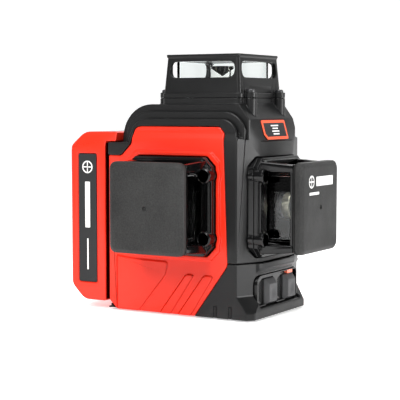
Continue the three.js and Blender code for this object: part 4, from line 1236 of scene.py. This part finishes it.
class LEVEL_OT_optics(bpy.types.Operator):
    """Builds the three laser barrels, their lens rings and their cone prisms on the pendulum."""
    bl_idname = "level.optics"
    bl_label = "Barrels and prisms"

    def execute(self, context):
        for name in ("top", "front", "side"):
            axis, centre, root, end, foot, tip = optic_axis(name)
            way = 1 if end > root else -1
            barrel = turned(axis, centre, [(BARREL, root), (BARREL, end - way * 5.5),
                                           (BARREL_NOSE, end - way * 5.1), (BARREL_NOSE, end - way * 0.4),
                                           (5.7, end)])
            place(soften(barrel, 0.15, 2), f"{name}_laser_barrel", "pendulum", "anodised_alloy", anodised(),
                  [f"{name}_barrel"])
            ring = turned(axis, centre, [(BARREL, end - way * 4.8), (RING, end - way * 4.3),
                                         (RING, end - way * 0.7), (6.4, end - way * 0.1)])
            bore = rod(axis, centre, min(end, root) - 1, max(end, root) + 1, RING_BORE)
            place(soften(cut(ring, bore), 0.1, 2), f"{name}_lens_ring", "pendulum", "brass", lens_metal())
            length_of = tip - foot
            prism_piece = turned(axis, centre, [(6.0, foot), (PRISM, foot + way * 0.3),
                                                (PRISM, tip - way * 0.2), (6.1, tip), (5.8, tip),
                                                (0.15, foot + 0.3 * length_of)], 64)
            place(soften(prism_piece, 0.05, 1), f"{name}_cone_prism", "pendulum", "clear_glass",
                  clear_glass("prism_glass", (0.98, 0.98, 0.95)), [f"{name}_prism"])
        return {"FINISHED"}


class LEVEL_OT_internals(bpy.types.Operator):
    """Gives the frame's own parts their materials and a small edge."""
    bl_idname = "level.internals"
    bl_label = "Feet and internals"

    def execute(self, context):
        looks = (
            (black_plastic, ("battery_tray",)),
            (foot_rubber, ("foot_1", "foot_2", "foot_3", "foot_4", "lock_pad")),
            (brass, ("tripod_insert", "pendulum_weight", "body_contacts")),
            (copper, ("damping_plate", "pack_contacts")),
            (anodised, ("hanger_frame", "gimbal_ring", "pendulum_block")),
            (screw_steel, ("damping_magnet",)),
            (board_green, ("main_board",)),
            (cell_wrap, ("cell_1", "cell_2")),
        )
        for look, nodes in looks:
            for name in nodes:
                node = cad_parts[name]
                node.data.materials.clear()
                node.data.materials.append(look())
                edge = node.modifiers.new("edge", "BEVEL")
                edge.width = sizes().fine_round
                edge.segments = 2
                edge.limit_method = "ANGLE"
                edge.angle_limit = math.radians(35)
        return {"FINISHED"}


# ---------------------------------------------------------------- stage
class LEVEL_OT_stage(bpy.types.Operator):
    """Lays the floor and backdrop, hangs the lights and sets the camera."""
    bl_idname = "level.stage"
    bl_label = "Stage"

    def execute(self, context):
        stage = context.scene.level_stage
        turn = stage.azimuth
        if stage.show_floor:
            self.floor(turn)
        self.world(context)
        self.lights(turn)
        self.camera(context, stage)
        context.scene.view_settings.view_transform = "Standard"
        return {"FINISHED"}

    def floor(self, turn):
        """A floor that curves up into a wall behind the object."""
        flat, bend, steps = 1.6, 0.9, 24
        profile = [(-2.5, 0), (flat, 0)]
        profile += [(flat + bend * math.sin(QUARTER * i / steps), bend - bend * math.cos(QUARTER * i / steps))
                    for i in range(1, steps + 1)]
        profile.append((2.5, 4.5))
        points, faces = [], []
        for along, up in profile:
            points += [(-4.0, along, up), (4.0, along, up)]
        for i in range(len(profile) - 1):
            faces.append((2 * i, 2 * i + 1, 2 * i + 3, 2 * i + 2))
        mesh = bpy.data.meshes.new("studio_floor")
        mesh.from_pydata(points, [], faces)
        mesh.materials.append(studio_white())
        mesh.shade_smooth()
        floor = bpy.data.objects.new("studio_floor", mesh)
        floor.rotation_euler.z = turn
        bpy.context.scene.collection.objects.link(floor)

    def world(self, context):
        world = bpy.data.worlds.new("studio")
        world.use_nodes = True
        backdrop = world.node_tree.nodes["Background"]
        backdrop.inputs["Color"].default_value = (1.0, 1.0, 1.0, 1.0)
        backdrop.inputs["Strength"].default_value = 0.15
        context.scene.world = world

    def lights(self, turn):
        """Name, direction from the front, height angle, distance, width, power."""
        rows = (("key_light", -35, 35, 1.2, 0.5, 11.0), ("front_light", 68, 6, 1.0, 0.4, 7.0),
                ("top_light", 0, 80, 1.2, 0.8, 12.0), ("rim_light", 165, 35, 1.4, 0.7, 5.0))
        aim = PLUMB + Vector((0, 0, 0.06))
        for name, side, height, distance, width, power in rows:
            data = bpy.data.lights.new(name, "AREA")
            data.size = width
            data.energy = power
            lamp_object = bpy.data.objects.new(name, data)
            a, e = turn + math.radians(side), math.radians(height)
            back = Vector((math.sin(a) * math.cos(e), -math.cos(a) * math.cos(e), math.sin(e)))
            lamp_object.location = aim + back * distance
            lamp_object.rotation_mode = "QUATERNION"
            lamp_object.rotation_quaternion = (-back).to_track_quat("-Z", "Y")
            bpy.context.scene.collection.objects.link(lamp_object)

    def camera(self, context, stage):
        a, e = stage.azimuth, stage.elevation
        back = Vector((math.sin(a) * math.cos(e), -math.cos(a) * math.cos(e), math.sin(e)))
        right = (-back).cross(Vector((0, 0, 1))).normalized()
        aim = PLUMB + Vector((0, 0, stage.aim_height)) + right * stage.aim_side
        data = bpy.data.cameras.new("main_camera_lens")
        data.lens = stage.focal
        data.sensor_width = 36.0
        data.dof.use_dof = False
        camera = bpy.data.objects.new("main_camera", data)
        camera.location = aim + back * stage.distance
        camera.rotation_mode = "QUATERNION"
        camera.rotation_quaternion = (-back).to_track_quat("-Z", "Y")
        context.scene.collection.objects.link(camera)
        context.scene.camera = camera


# ---------------------------------------------------------------- panel and run
STEPS = (LEVEL_OT_housing, LEVEL_OT_side_panels, LEVEL_OT_cages, LEVEL_OT_top_cage, LEVEL_OT_battery,
         LEVEL_OT_controls, LEVEL_OT_sticker, LEVEL_OT_optics, LEVEL_OT_internals, LEVEL_OT_stage)


class LEVEL_PT_sidebar(bpy.types.Panel):
    """Lists the settings and the build steps of the laser level."""
    bl_idname = "LEVEL_PT_sidebar"
    bl_label = "Laser level"
    bl_space_type = "VIEW_3D"
    bl_region_type = "UI"
    bl_category = "Laser level"

    def draw(self, context):
        for name, group in SETTINGS.items():
            box = self.layout.box()
            for field in group.__annotations__:
                box.prop(getattr(context.scene, name), field)
        for step in STEPS:
            self.layout.operator(step.bl_idname)


CLASSES = (*SETTINGS.values(), *STEPS, LEVEL_PT_sidebar)


def register():
    for each in CLASSES:
        bpy.utils.register_class(each)
    for name, group in SETTINGS.items():
        setattr(bpy.types.Scene, name, PointerProperty(type=group))


def unregister():
    for name in SETTINGS:
        delattr(bpy.types.Scene, name)
    for each in reversed(CLASSES):
        bpy.utils.unregister_class(each)


def main():
    register()
    for step in STEPS:
        family, name = step.bl_idname.split(".")
        getattr(getattr(bpy.ops, family), name)()


if __name__ == "__main__":
    main()
